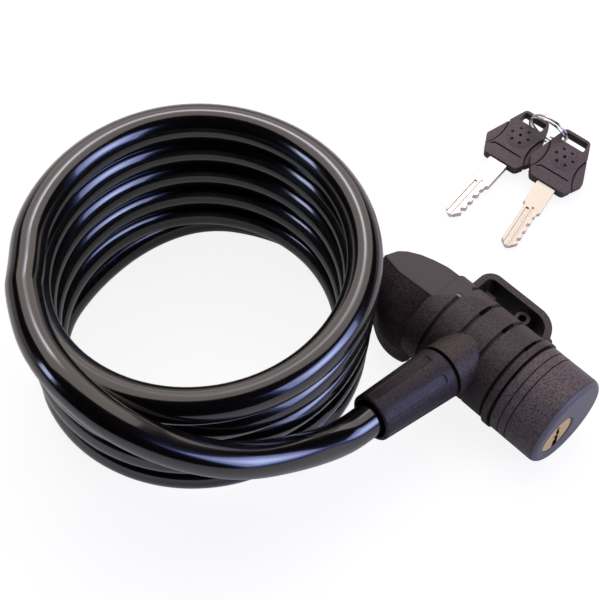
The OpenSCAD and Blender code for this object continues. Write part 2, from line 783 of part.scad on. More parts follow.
module bracket_strap() {
    gap = 0.1;
    color("#39383b") difference() {
        union() {
            translate([0, 0, strap_low]) linear_extrude(strap_top - strap_low) difference() {
                strap_plan(0);
                strap_plan(strap_t);
                translate([-60, -60]) square([120, 60 + strap_foot]);
            }
            for (x = pin_x) translate([x, pin_y, strap_low + lug_h + gap])
                cylinder(h = pin_top - strap_low - 2 * (lug_h + gap), r = knuckle_r - 0.3);
        }
        for (x = pin_x) {
            translate([x, pin_y, 0]) cylinder(h = pin_top + gap, d = strap_pin_d);
            for (z = [strap_low - gap, pin_top - lug_h - gap])
                translate([x, pin_y, z]) cylinder(h = lug_h + 2 * gap, r = knuckle_r + gap);
            translate([x - knuckle_r - gap, barrel_r, strap_low - 1])
                cube([2 * (knuckle_r + gap), base_back + base_plate + gap - barrel_r,
                    pin_top + gap - strap_low + 1]);
        }
    }
}

module strap_pins() {
    color("#b9bcc0") for (x = pin_x) translate([x, pin_y, strap_low])
        cylinder(h = pin_top - strap_low, d = strap_pin_d);
}

// ---------- keys ----------

module on_key(at, turn) {
    translate(at) rotate([0, 0, turn[2] - 90]) rotate([turn[0], 0, 0]) rotate([0, turn[1], 0])
        children();
}

module bow_outline() {
    r = 1.6;
    w = bow_w / 2;
    hull() for (m = [-1, 1]) {
        translate([m * (6.9 - r), r]) circle(r, $fn = 24);
        translate([m * (w - r), 7]) circle(r, $fn = 24);
        translate([m * (bow_top_w / 2 - r), bow_len - r]) circle(r, $fn = 24);
    }
}

module key_bow() {
    wing_r = 14;
    dome_y = 12;
    dome_h = 0.8;
    dome_r = 16;
    dimples = concat([[0, 0]], [for (a = [0 : 60 : 300]) 3.1 * [cos(a), sin(a)]]);
    line_w = 0.5;
    line_y = 5;
    line_d = 0.5;
    line_len = 10.4;
    hook = 1.6;
    difference() {
        union() {
            linear_extrude(wing_t, center = true) bow_outline();
            intersection() {
                linear_extrude(bow_t, center = true) bow_outline();
                difference() {
                    translate([-20, -5, -5]) cube([40, 40, 10]);
                    for (m = [-1, 1]) translate([m * (5.6 + wing_r), 10, -10])
                        cylinder(h = 20, r = wing_r);
                }
            }
            for (m = [-1, 1]) {
                translate([0, dome_y, 0]) intersection() {
                    translate([0, 0, m * (bow_t / 2 + dome_h - dome_r)]) sphere(r = dome_r);
                    translate([0, 0, m * 2.5]) cylinder(h = 5, r = 5.2, center = true);
                }
            }
        }
        translate([-slot_w / 2 + slot_r, slot_y - slot_h / 2, -10])
            cube([slot_w - 2 * slot_r, slot_h, 20]);
        translate([-slot_w / 2, slot_y - slot_h / 2 + slot_r, -10])
            cube([slot_w, slot_h - 2 * slot_r, 20]);
        for (x = [-1, 1], y = [-1, 1])
            translate([x * (slot_w / 2 - slot_r), slot_y + y * (slot_h / 2 - slot_r), -10])
                cylinder(h = 20, r = slot_r);
        for (p = dimples, m = [-1, 1])
            translate([p[0], dome_y + p[1], m * (bow_t / 2 + dome_h)])
                cylinder(h = 1.6, r = 0.55, center = true, $fn = 16);
        for (m = [-1, 1]) translate([0, 0, m * bow_t / 2]) {
            translate([0, line_y, 0]) cube([line_len, line_w, 2 * line_d], center = true);
            translate([-line_len / 2, line_y, 0]) rotate([0, 0, 225])
                translate([0, -line_w / 2, -line_d]) cube([hook, line_w, 2 * line_d]);
        }
        for (m = [-1, 1], k = [-1, 1]) translate([m * (5.6 + wing_r), 10, k * wing_t / 2])
            difference() {
                cylinder(h = 2 * line_d, r = wing_r, center = true);
                translate([m * line_w, 0, 0]) cylinder(h = 2, r = wing_r, center = true);
            }
        translate([-blade_w / 2 - 0.05, -1, -blade_t / 2 - 0.05]) cube([blade_w + 0.1, 9, blade_t + 0.1]);
    }
}

module key_blade() {
    w = blade_w / 2;
    shoulder = -10;
    tip = -blade_len;
    cut = [0.5, 1, 0.7, 1.1, 0.6];
    cut_pitch = 3.2;
    difference() {
        linear_extrude(blade_t, center = true) polygon([
            [-w, 7.5], [w, 7.5], [w, shoulder - 0.6], [w - 0.8, shoulder - 1.2],
            [w - 0.8, tip + 2.6], [w - 3, tip], [-w + 2.4, tip], [-w + 0.7, tip + 1.6],
            [-w + 0.7, shoulder], [-w, shoulder + 0.6]
        ]);
        for (i = [0 : len(cut) - 1]) translate([w - 0.8, shoulder - 3.6 - i * cut_pitch, -5])
            linear_extrude(10) polygon([[1, -1.7], [1, 1.7], [-cut[i], 0.45], [-cut[i], -0.45]]);
        for (m = [-1, 1]) {
            translate([-w + 1.7, tip - 1, m > 0 ? blade_t / 2 - 0.5 : -blade_t / 2 - 1])
                cube([1.1, blade_len + shoulder, 1.5]);
            translate([-w + 3.5, tip - 1, m > 0 ? blade_t / 2 - 0.35 : -blade_t / 2 - 1])
                cube([0.7, blade_len + shoulder + 1, 1.35]);
        }
    }
}

module key_1_bow() {
    color("#38363a") on_key(key_1_at, key_1_turn) key_bow();
}

module key_1_blade() {
    color("#d6cfc2") on_key(key_1_at, key_1_turn) key_blade();
}

module key_2_bow() {
    color("#38363a") on_key(key_2_at, key_2_turn) key_bow();
}

module key_2_blade() {
    color("#d6cfc2") on_key(key_2_at, key_2_turn) key_blade();
}

ring_steps = ring_turns * rings_per_turn;
ring_run = [for (i = [0 : ring_steps])
    let (a = 90 + 360 * i / rings_per_turn)
    [key_ring_r * cos(a), ring_pitch * (i / rings_per_turn - ring_turns / 2), key_ring_r * sin(a)]];
echo(ring_gap = self_gap(ring_run, 16, ring_wire_d));

module key_ring() {
    color("#cfd1d4") translate(ring_at) rotate([0, 0, ring_heading]) rotate([ring_lean, 0, 0])
        tube(ring_run, ring_wire_d / 2, 6);
}

// ---------- nodes ----------

barrel_housing();
rear_head();
front_cap();
trim_ring();
lock_body();
chamber_cover();
driver_pins();
driver_springs();
key_cylinder();
key_pins();
cylinder_tail();
tail_clip();
socket_bush();
eject_spring();
locking_pin();
plug_ferrule();
plug_rope();
plug_boot();
plug_seal();
cable_front();
cable_coil();
cable_tail();
anchor_ferrule();
anchor_rope();
anchor_clip();
anchor_gland();
bracket_base();
bracket_screws();
bracket_strap();
strap_pins();
head_screws();
key_1_bow();
key_1_blade();
key_2_bow();
key_2_blade();
key_ring();
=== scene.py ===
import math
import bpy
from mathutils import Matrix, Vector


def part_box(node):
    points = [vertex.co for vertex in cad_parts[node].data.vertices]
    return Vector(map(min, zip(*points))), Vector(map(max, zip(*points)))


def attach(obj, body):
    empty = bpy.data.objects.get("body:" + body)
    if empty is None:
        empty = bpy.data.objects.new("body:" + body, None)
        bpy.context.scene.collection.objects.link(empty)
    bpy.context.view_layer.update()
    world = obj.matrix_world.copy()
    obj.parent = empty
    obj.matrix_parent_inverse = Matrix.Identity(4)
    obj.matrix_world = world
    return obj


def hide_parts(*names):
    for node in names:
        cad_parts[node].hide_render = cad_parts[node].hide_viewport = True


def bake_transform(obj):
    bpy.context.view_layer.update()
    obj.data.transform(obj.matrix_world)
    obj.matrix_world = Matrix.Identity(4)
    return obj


bl_info = {
    "name": "Coil Cable Lock",
    "version": (1, 0, 0),
    "blender": (4, 5, 0),
    "location": "View3D > Sidebar > Cable Lock",
    "description": "Dresses a keyed coil cable lock with its coated cable, mouldings, metals, keys and stage",
    "category": "Object",
}

import bmesh
import bpy
from bpy.props import FloatProperty, FloatVectorProperty, IntProperty, PointerProperty
from mathutils import Matrix, Vector

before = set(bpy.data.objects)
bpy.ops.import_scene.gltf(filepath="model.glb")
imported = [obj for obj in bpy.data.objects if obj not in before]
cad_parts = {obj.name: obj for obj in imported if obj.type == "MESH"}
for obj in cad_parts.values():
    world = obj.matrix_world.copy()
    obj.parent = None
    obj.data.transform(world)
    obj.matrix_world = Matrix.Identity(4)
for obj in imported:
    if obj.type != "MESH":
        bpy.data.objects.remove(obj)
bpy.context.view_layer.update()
MM = 0.001


# ---------- colours ----------


def linear(code):
    """Linear colour of an sRGB hex value such as "#2b2a2c"."""
    channels = [int(code[i : i + 2], 16) / 255 for i in (1, 3, 5)]
    return tuple(c / 12.92 if c <= 0.04045 else ((c + 0.055) / 1.055) ** 2.4 for c in channels)


def colour_property(name, description, code):
    return FloatVectorProperty(
        name=name, description=description, subtype="COLOR", size=3, min=0, max=1, default=linear(code)
    )


def length_property(name, description, millimetres, low=0.0):
    return FloatProperty(
        name=name,
        description=description,
        subtype="DISTANCE",
        unit="LENGTH",
        precision=5,
        min=low * MM,
        default=millimetres * MM,
    )


# ---------- what a user would change ----------


class CableSizes(bpy.types.PropertyGroup):
    """Sizes of the coated cable, its boot and the rear head"""

    diameter: length_property("Cable diameter", "Outer diameter of the coated cable", 10, 2)
    ring_step: length_property("Ring step", "Distance between two rings of the cable's mesh", 2.2, 0.5)
    sides: IntProperty(name="Cable sides", description="Faces round the cable", default=28, min=8)
    boot_from: length_property("Boot start", "Distance from the barrel's mid-plane to the boot", 17.9)
    boot_length: length_property("Boot length", "Length of the moulded boot", 26.5, 10)
    boot_radius_1: length_property("Boot radius at the collar", "Outer radius beside the collar", 8.05)
    boot_radius_2: length_property("Boot radius at the cable", "Outer radius where the cable leaves", 7.15)
    panel_width: length_property("Panel width", "Width of a sunk panel on the boot", 3.4)
    panel_depth: length_property("Panel depth", "Depth of a panel's flat below the boot's round", 0.42)
    facet_height: length_property("Facet height", "Height of the rear head's flat facet", 26)
    wire_diameter: length_property("Ring wire", "Wire thickness of the split ring", 0.75, 0.2)
    ring_radius: length_property("Ring radius", "Mean radius of the split ring", 6.8, 3)


class FinishSizes(bpy.types.PropertyGroup):
    """Real sizes of the patterns in the finishes"""

    mould_grain: length_property("Mould grain", "Grain of the eroded mould surface", 0.62, 0.05)
    key_grain: length_property("Key grain", "Grain of the key bows' finer mould surface", 0.3, 0.05)
    edge_radius: length_property("Edge radius", "Radius of a moulded edge", 0.28, 0.01)
    pvc_ripple: length_property("Coating ripple", "Length of the faint waves in the extruded coating", 9, 1)
    turning_pitch: length_property("Turning pitch", "Distance between two tool marks", 0.22, 0.02)
    casting_grain: length_property("Casting grain", "Grain of a die-cast surface", 0.6, 0.05)
    scratch_width: length_property("Scratch width", "Width of the fine scratches on worn metal", 0.12, 0.02)


class LockColours(bpy.types.PropertyGroup):
    """Colours of the finishes"""

    coating: colour_property("Cable coating", "Gloss black PVC", "#0d0a0b")
    coating_haze: colour_property("Coating haze", "Faint bloom on the PVC", "#1d191a")
    moulding: colour_property("Moulding", "Black ABS of the barrel and head", "#534948")
    # edge tone of the mouldings: partly real wear, partly a painted highlight on the edges
    moulding_edge_wear_and_highlight: colour_property("Worn edge", "ABS where hands have rubbed its edges", "#756b6a")
    # partly the polished facet's own tone, partly a painted sheen: lighter than the moulding for the overhead
    # light that it reflects
    facet: colour_property("Smooth facet", "Polished flat of the rear head", "#5c5354")
    # painted light: the cap's ABS is made lighter than the barrel's, for the stronger light that falls on it
    cap: colour_property("Cap", "ABS of the front cap", "#6c6060")
    # partly the smooth face's own tone, partly painted light: lighter and bluer for the window light on it
    cap_face: colour_property("Cap face", "Smooth end of the front cap", "#76737a")
    boot: colour_property("Boot", "Grained polypropylene of the boot", "#41383b")
    rubber: colour_property("Rubber", "Black nitrile rubber", "#101011")
    key_plastic: colour_property("Key bow", "Warm dark grey ABS of the key bows", "#6e6262")
    brass: colour_property("Brass", "Brass with a blasted face", "#ffd394")
    nickel_silver: colour_property("Nickel silver", "Pale ivory key blank metal", "#e6dfd3")
    nickel: colour_property("Nickel plate", "Bright plated ring wire", "#dad7d4")
    steel: colour_property("Steel", "Turned and drawn steel", "#b5b7ba")
    zinc: colour_property("Zinc", "Die-cast zinc", "#9c9ea1")
    floor: colour_property("Floor", "Pale studio floor", "#e6e6e6")


# ---------- mesh helpers ----------


def keep_mesh(name, mesh):
    """An object with that mesh, at the origin of the part."""
    piece = bpy.data.objects.new(name, mesh)
    bpy.context.scene.collection.objects.link(piece)
    return piece


def mesh_piece(name, points, faces, crease=35):
    """A smooth-shaded mesh, with sharp edges where it turns by more than crease degrees."""
    mesh = bpy.data.meshes.new(name)
    mesh.from_pydata([tuple(p) for p in points], [], faces)
    mesh.validate()
    mesh.shade_smooth()
    mesh.set_sharp_from_angle(angle=math.radians(crease))
    return keep_mesh(name, mesh)


def add_modifier(piece, kind, **settings):
    """Adds a modifier of that kind with its settings."""
    made = piece.modifiers.new(kind.title(), kind)
    for name, value in settings.items():
        setattr(made, name, value)


def freeze(piece):
    """Applies a piece's modifiers to its mesh."""
    bpy.context.view_layer.update()
    shown = piece.evaluated_get(bpy.context.evaluated_depsgraph_get())
    mesh = bpy.data.meshes.new_from_object(shown)
    piece.modifiers.clear()
    piece.data = mesh


def finish_piece(piece, body, material, slot, *nodes):
    """Gives a piece its finish and its body, and hides the CAD nodes that it stands for."""
    piece.data.materials.clear()
    piece.data.materials.append(material)
    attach(piece, body)
    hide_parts(*nodes)


def dress(material, *nodes):
    """Gives CAD nodes a finish."""
    for name in nodes:
        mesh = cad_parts[name].data
        mesh.materials.clear()
        mesh.materials.append(material)


def curve_through(points, step):
    """Points about a step apart on a smooth curve through all the points given."""
    ends = [2 * points[0] - points[1], *points, 2 * points[-1] - points[-2]]
    line = []
    for a, b, c, d in zip(ends, ends[1:], ends[2:], ends[3:]):
        count = max(1, round((c - b).length / step))
        knots = [0.0]
        for p, q in ((a, b), (b, c), (c, d)):
            knots.append(knots[-1] + max((q - p).length, 1e-9) ** 0.5)
        t0, t1, t2, t3 = knots
        for i in range(count):
            t = t1 + (t2 - t1) * i / count
            ab = a.lerp(b, (t - t0) / (t1 - t0))
            bc = b.lerp(c, (t - t1) / (t2 - t1))
            cd = c.lerp(d, (t - t2) / (t3 - t2))
            abc = ab.lerp(bc, (t - t0) / (t2 - t0))
            bcd = bc.lerp(cd, (t - t1) / (t3 - t1))
            line.append(abc.lerp(bcd, (t - t1) / (t2 - t1)))
    return [*line, points[-1]]


def tube_mesh(name, line, radius, sides, crease=50):
    """A closed round tube along a line, whose rings don't twist."""
    points, faces = [], []
    forward = (line[1] - line[0]).normalized()
    across = forward.cross(Vector((0, 0, 1))).normalized()
    for i, centre in enumerate(line):
        ahead = (line[min(i + 1, len(line) - 1)] - line[max(i - 1, 0)]).normalized()
        across = (across - ahead * across.dot(ahead)).normalized()
        up = ahead.cross(across)
        for j in range(sides):
            turn = math.tau * j / sides
            points.append(centre + radius * (math.cos(turn) * across + math.sin(turn) * up))
    for i in range(len(line) - 1):
        for j in range(sides):
            a, b = i * sides + j, i * sides + (j + 1) % sides
            faces.append((a, b, b + sides, a + sides))
    last = (len(line) - 1) * sides
    faces.append(tuple(reversed(range(sides))))
    faces.append(tuple(range(last, last + sides)))
    return mesh_piece(name, points, faces, crease)


def revolved(profile, segments, offset=None):
    """Points and faces of a profile of (radius, height) pairs turned round Z, closed on itself.
    offset(radius, height, angle) gives the radius there."""
    points, faces = [], []
    for radius, height in profile:
        for j in range(segments):
            turn = math.tau * j / segments
            r = offset(radius, height, turn) if offset else radius
            points.append(Vector((r * math.cos(turn), r * math.sin(turn), height)))
    rows = len(profile)
    for i in range(rows):
        for j in range(segments):
            a, b = i * segments + j, i * segments + (j + 1) % segments
            c, d = (a + segments) % (rows * segments), (b + segments) % (rows * segments)
            faces.append((a, b, d, c))
    return points, faces


# ---------- material helpers ----------

# heights between which a pattern mostly stays
HOLLOW, CREST = 0.3, 0.7


def add(tree, kind, inputs=(), **settings):
    """Adds a node with its own settings, and its inputs as values or links, by name or number or
    in the order of its sockets, and gives its outputs."""
    made = tree.nodes.new(kind)
    for name, value in settings.items():
        setattr(made, name, value)
    for name, value in inputs.items() if isinstance(inputs, dict) else enumerate(inputs):
        if isinstance(value, bpy.types.NodeSocket):
            tree.links.new(value, made.inputs[name])
        else:
            made.inputs[name].default_value = value
    return made.outputs


def rgba(colour, factor=1.0):
    """A colour, made lighter or darker by a factor, as a colour socket takes it."""
    return (*(c * factor for c in colour), 1.0)


def blank_material(name):
    """A new material without nodes, and its tree."""
    material = bpy.data.materials.new(name)
    material.use_nodes = True
    material.node_tree.nodes.clear()
    return material, material.node_tree


def surface(tree, inputs):
    """Closes a material's tree with a shader of those inputs."""
    shader = add(tree, "ShaderNodeBsdfPrincipled", inputs)["BSDF"]
    add(tree, "ShaderNodeOutputMaterial", {"Surface": shader})


def layered(tree, tone, *layers):
    """A colour with others laid over it in turn, each given with its share."""
    for share, over in layers:
        tone = add(tree, "ShaderNodeMix", {0: share, 6: tone, 7: over}, data_type="RGBA")[2]
    return tone


def pattern(tree, size, detail=2.0, rough=0.5, stretch=(1, 1, 1)):
    """Height of a random pattern that is fixed to the piece, with features about that size in metres."""
    place = add(tree, "ShaderNodeTexCoord")["Object"]
    scaled = add(tree, "ShaderNodeMapping", {"Vector": place, "Scale": stretch})["Vector"]
    inputs = {"Vector": scaled, "Scale": 1 / size, "Detail": detail, "Roughness": rough}
    return add(tree, "ShaderNodeTexNoise", inputs)["Fac"]


def rounded_normal(tree, radius):
    """Normal rounded at edges, and how much it turns there, from 0 to 1."""
    rounded = add(tree, "ShaderNodeBevel", {"Radius": radius}, samples=4)["Normal"]
    plain = add(tree, "ShaderNodeNewGeometry")["Normal"]
    same = add(tree, "ShaderNodeVectorMath", (rounded, plain), operation="DOT_PRODUCT")["Value"]
    return rounded, add(tree, "ShaderNodeMapRange", (same, 0.9, 0.999, 1.0, 0.0))["Result"]


def flat_mask(tree, axis, low, high, tilt):
    """1 where the surface lies between two heights on an axis and faces along it by tilt or more."""
    soft = 0.05
    coords = add(tree, "ShaderNodeTexCoord")
    place = add(tree, "ShaderNodeSeparateXYZ", {"Vector": coords["Object"]})[axis]
    facing = add(tree, "ShaderNodeSeparateXYZ", {"Vector": coords["Normal"]})[axis]
    above = add(tree, "ShaderNodeMath", (place, low), operation="GREATER_THAN")[0]
    below = add(tree, "ShaderNodeMath", (place, high), operation="LESS_THAN")[0]
    between = add(tree, "ShaderNodeMath", (above, below), operation="MULTIPLY")[0]
    turned = add(tree, "ShaderNodeMapRange", (facing, tilt, tilt + soft, 0.0, 1.0))["Result"]
    return add(tree, "ShaderNodeMath", (between, turned), operation="MULTIPLY")[0]


# ---------- finishes ----------


def moulded_plastic(name, colour, worn, grain, gloss, depth=0.13, flat=None, edge_radius=None):
    """Injection-moulded ABS from a spark-eroded mould: an even pebbled grain of warm crests and cool
    specks, with painted shade in its hollows, edges rubbed pale that also carry a painted highlight,
    and painted shade in corners and crevices from an ambient occlusion node. flat is (axis, low, high,
    tilt, colour, roughness) of a polished insert in the mould, whose edge leaves a dark line."""
    coarse_share, fine_size, speck_size = 0.65, 0.4, 1.7
    warm, cool, hollow, patch, painted_crevice_shade, seam, dust = 1.25, 1.4, 0.5, 0.7, 0.12, 0.3, 0.8
    strength, flat_strength, seam_tilt = 0.8, 0.12, 0.14
    sizes = bpy.context.scene.lock_finishes
    material, tree = blank_material(name)
    normal, edge = rounded_normal(tree, edge_radius or sizes.edge_radius)
    pebbles = pattern(tree, grain, 2.0, 0.6)
    fine = pattern(tree, grain * fine_size, 2.0, 0.6)
    height = add(tree, "ShaderNodeMix", {0: coarse_share, 2: fine, 3: pebbles})[0]
    patches = pattern(tree, 9 * MM)
    specks = pattern(tree, grain * speck_size, 1.0)
    rubbed = pattern(tree, 3 * MM, 3.0)
    open_sky = add(tree, "ShaderNodeAmbientOcclusion", {"Distance": 10 * MM}, samples=8)["AO"]
    rub = add(tree, "ShaderNodeMapRange", (rubbed, HOLLOW, CREST, 0.1, 0.6))["Result"]
    worn_and_highlit_edge = add(tree, "ShaderNodeMath", (edge, rub), operation="MULTIPLY")[0]
    shade = rgba(colour, warm)
    # a pattern, the heights that it runs between and its shares there, and the tone that it lays on
    for spread, tone in (
        ((specks, 0.5, 0.65, 0.0, 1.0), rgba((colour[0], colour[1], colour[2] * cool))),
        # painted shade in the grain's hollows: darker where the relief is low
        ((height, 0.42, 0.54, 1.0, 0.0), rgba(colour, hollow)),
        ((patches, HOLLOW, CREST, 0.0, 0.2), rgba(colour, patch)),
        # edges rubbed pale, partly real wear and partly a painted highlight
        ((worn_and_highlit_edge, 0.0, 1.0, 0.0, 1.0), rgba(worn)),
        # painted shade: darker where the ambient occlusion node finds corners and crevices
        ((open_sky, 0.35, 0.97, 0.8, 0.0), rgba(colour, painted_crevice_shade)),
    ):
        share = add(tree, "ShaderNodeMapRange", spread)["Result"]
        shade = layered(tree, shade, (share, tone))
    rough = add(tree, "ShaderNodeMapRange", (patches, HOLLOW, CREST, gloss - 0.04, gloss + 0.05))["Result"]
    if flat:
        axis, low, high, tilt, flat_colour, flat_rough = flat
        mask = flat_mask(tree, axis, low, high, tilt)
        line = flat_mask(tree, axis, low, high, tilt - seam_tilt)
        dusty = add(tree, "ShaderNodeMapRange", (fine, HOLLOW, CREST, 0.0, 0.4))["Result"]
        dusted = layered(tree, rgba(flat_colour), (dusty, rgba(flat_colour, dust)))
        shade = layered(tree, shade, (line, rgba(colour, seam)), (mask, dusted))
        rough = add(tree, "ShaderNodeMapRange", (mask, 0.0, 1.0, gloss, flat_rough))["Result"]
        strength = add(tree, "ShaderNodeMapRange", (mask, 0.0, 1.0, strength, flat_strength))["Result"]
    relief = {"Height": height, "Distance": depth * MM, "Strength": strength, "Normal": normal}
    surface(
        tree,
        {
            "Base Color": shade,
            "Roughness": rough,
            "Specular IOR Level": 0.2,
            "Normal": add(tree, "ShaderNodeBump", relief)["Normal"],
        },
    )
    return material


def facet_flat():
    """The polished facet that the rear head and the barrel share, as moulded_plastic takes it."""
    top, colour = bpy.context.scene.lock_sizes.facet_height, bpy.context.scene.lock_colours.facet
    return 2, top - 0.3 * MM, top + 0.2 * MM, 0.9, colour, 0.4


def extruded_pvc():
    """Gloss plasticised PVC over a steel rope: a wet-looking black skin with very slow waves from
    the extruder and a few dull scuffs where turn rubs on turn."""
    sizes, colours = bpy.context.scene.lock_finishes, bpy.context.scene.lock_colours
    material, tree = blank_material("pvc_extruded_gloss_black")
    waves = pattern(tree, sizes.pvc_ripple, 1.0, 0.4)
    specks = pattern(tree, 0.5 * MM, 2.0, 0.6)
    scuffs = pattern(tree, 5 * MM, 3.0, 0.6)
    dull = add(tree, "ShaderNodeMapRange", (scuffs, 0.6, 0.72, 0.0, 1.0))["Result"]
    dotted = add(tree, "ShaderNodeMapRange", (specks, 0.5, 0.75, 0.0, 1.0))["Result"]
    bloom = add(tree, "ShaderNodeMath", (dotted, dull), operation="MULTIPLY")[0]
    slow = {"Height": waves, "Distance": 0.25 * MM, "Strength": 0.3}
    waved = add(tree, "ShaderNodeBump", slow)["Normal"]
    fine = {"Height": specks, "Distance": 0.01 * MM, "Strength": 0.25, "Normal": waved}
    surface(
        tree,
        {
            "Base Color": layered(tree, rgba(colours.coating), (bloom, rgba(colours.coating_haze))),
            "Roughness": add(tree, "ShaderNodeMapRange", (bloom, 0.0, 1.0, 0.17, 0.3))["Result"],
            "Coat Weight": 1.0,
            "Coat Roughness": 0.06,
            "Normal": add(tree, "ShaderNodeBump", fine)["Normal"],
        },
    )
    return material


def nitrile_rubber():
    """Moulded nitrile rubber: dull black with a powdery bloom that takes the light softly."""
    colours = bpy.context.scene.lock_colours
    material, tree = blank_material("nitrile_rubber_moulded")
    bloom = pattern(tree, 1.5 * MM, 4.0, 0.6)
    powder = add(tree, "ShaderNodeMapRange", (bloom, HOLLOW, CREST, 0.0, 0.3))["Result"]
    skin = {"Height": pattern(tree, 0.2 * MM), "Distance": 0.02 * MM, "Strength": 0.5}
    surface(
        tree,
        {
            "Base Color": layered(tree, rgba(colours.rubber), (powder, rgba(linear("#2b292a")))),
            "Roughness": add(tree, "ShaderNodeMapRange", (bloom, HOLLOW, CREST, 0.6, 0.8))["Result"],
            "Sheen Weight": 0.15,
            "Normal": add(tree, "ShaderNodeBump", skin)["Normal"],
        },
    )
    return material


def turned_metal(name, colour, roughness, centre, axis="X", metallic=1.0, face=None):
    """Lathe-turned metal: round tool marks about its axis, and fine wear that dulls it in places.
    A blasted face scatters light almost like a matt one, so its metallic share is lower. face is
    the X of an end face that keeps its colour; the cuts behind it get painted shade, very dark."""
    worn, painted_recess_shade = 0.72, 0.08
    sizes = bpy.context.scene.lock_finishes
    material, tree = blank_material(name)
    place = add(tree, "ShaderNodeTexCoord")["Object"]
    moved = add(tree, "ShaderNodeMapping", {"Vector": place, "Location": [-c for c in centre]})["Vector"]
    lathe = {"Vector": moved, "Scale": 1 / (sizes.turning_pitch * math.tau), "Distortion": 0.4, "Detail": 1.0}
    rings = add(tree, "ShaderNodeTexWave", lathe, wave_type="RINGS", rings_direction=axis)["Fac"]
    grain = pattern(tree, 0.35 * MM, 4.0, 0.6)
    dull = pattern(tree, 2.5 * MM, 3.0)
    wear = add(tree, "ShaderNodeMapRange", (grain, HOLLOW, CREST, 0.0, 0.5))["Result"]
    shade = layered(tree, rgba(colour), (wear, rgba(colour, worn)))
    if face is not None:
        bright = flat_mask(tree, 0, face - 0.3 * MM, face + 0.2 * MM, 0.5)
        # painted shade: surfaces behind the end face, such as the keyway's walls, darkened as if in shadow
        shade = layered(tree, rgba(colour, painted_recess_shade), (bright, shade))
    normal, _ = rounded_normal(tree, 0.15 * MM)
    height = add(tree, "ShaderNodeMath", (rings, 0.5, 0.5), operation="MULTIPLY_ADD")[0]
    marks = {"Height": height, "Distance": 0.008 * MM, "Strength": 0.35, "Normal": normal}
    marked = add(tree, "ShaderNodeBump", marks)["Normal"]
    pits = {"Height": grain, "Distance": 0.012 * MM, "Strength": 0.3, "Normal": marked}
    rough = (dull, HOLLOW, CREST, roughness, roughness + 0.14)
    surface(
        tree,
        {
            "Base Color": shade,
            "Metallic": metallic,
            "Roughness": add(tree, "ShaderNodeMapRange", rough)["Result"],
            "Normal": add(tree, "ShaderNodeBump", pits)["Normal"],
        },
    )
    return material


def cast_zinc():
    """Die-cast zinc: a grey skin with a soft pebbled flow pattern and brighter rubbed edges."""
    sizes, colours = bpy.context.scene.lock_finishes, bpy.context.scene.lock_colours
    material, tree = blank_material("zinc_die_cast")
    normal, edge = rounded_normal(tree, 0.2 * MM)
    skin = pattern(tree, sizes.casting_grain, 3.0, 0.6)
    flow = add(tree, "ShaderNodeMapRange", (pattern(tree, 6 * MM), HOLLOW, CREST, 0.0, 0.6))["Result"]
    cold, rubbed = rgba(colours.zinc, 0.7), rgba(linear("#c9cacc"))
    relief = {"Height": skin, "Distance": 0.04 * MM, "Strength": 0.4, "Normal": normal}
    surface(
        tree,
        {
            "Base Color": layered(tree, rgba(colours.zinc), (flow, cold), (edge, rubbed)),
            "Metallic": 1.0,
            "Roughness": add(tree, "ShaderNodeMapRange", (skin, HOLLOW, CREST, 0.42, 0.6))["Result"],
            "Normal": add(tree, "ShaderNodeBump", relief)["Normal"],
        },
    )
    return material


def stamped_metal(name, colour, roughness, stretch=(1, 1, 1), edge_colour=None):
    """Rolled and stamped strip or drawn wire: long fine draw lines, a few crossing scratches, and
    edges painted brighter as a highlight, unless an edge colour is given in its place."""
    drawn, bright = 0.78, 1.1
    sizes = bpy.context.scene.lock_finishes
    material, tree = blank_material(name)
    normal, edge = rounded_normal(tree, 0.17 * MM)
    lines = pattern(tree, sizes.scratch_width, 2.0, 0.5, stretch)
    line_share = add(tree, "ShaderNodeMapRange", (lines, HOLLOW, CREST, 0.0, 0.35))["Result"]
    worn = pattern(tree, 1.2 * MM, 5.0, 0.7)
    scratches = add(tree, "ShaderNodeMapRange", (worn, 0.55, 0.75, 0.0, 1.0))["Result"]
    # painted highlight on the edges: the colour made brighter there, unless an edge colour is given
    painted_edge_tone = rgba(edge_colour or [min(1, c * bright) for c in colour])
    rough = (scratches, 0.0, 1.0, roughness, roughness + 0.12)
    relief = {"Height": lines, "Distance": 0.01 * MM, "Strength": 0.35, "Normal": normal}
    surface(
        tree,
        {
            "Base Color": layered(tree, rgba(colour), (line_share, rgba(colour, drawn)), (edge, painted_edge_tone)),
            "Metallic": 1.0,
            "Roughness": add(tree, "ShaderNodeMapRange", rough)["Result"],
            "Normal": add(tree, "ShaderNodeBump", relief)["Normal"],
        },
    )
    return material


# ---------- route of the cable, in millimetres and degrees ----------

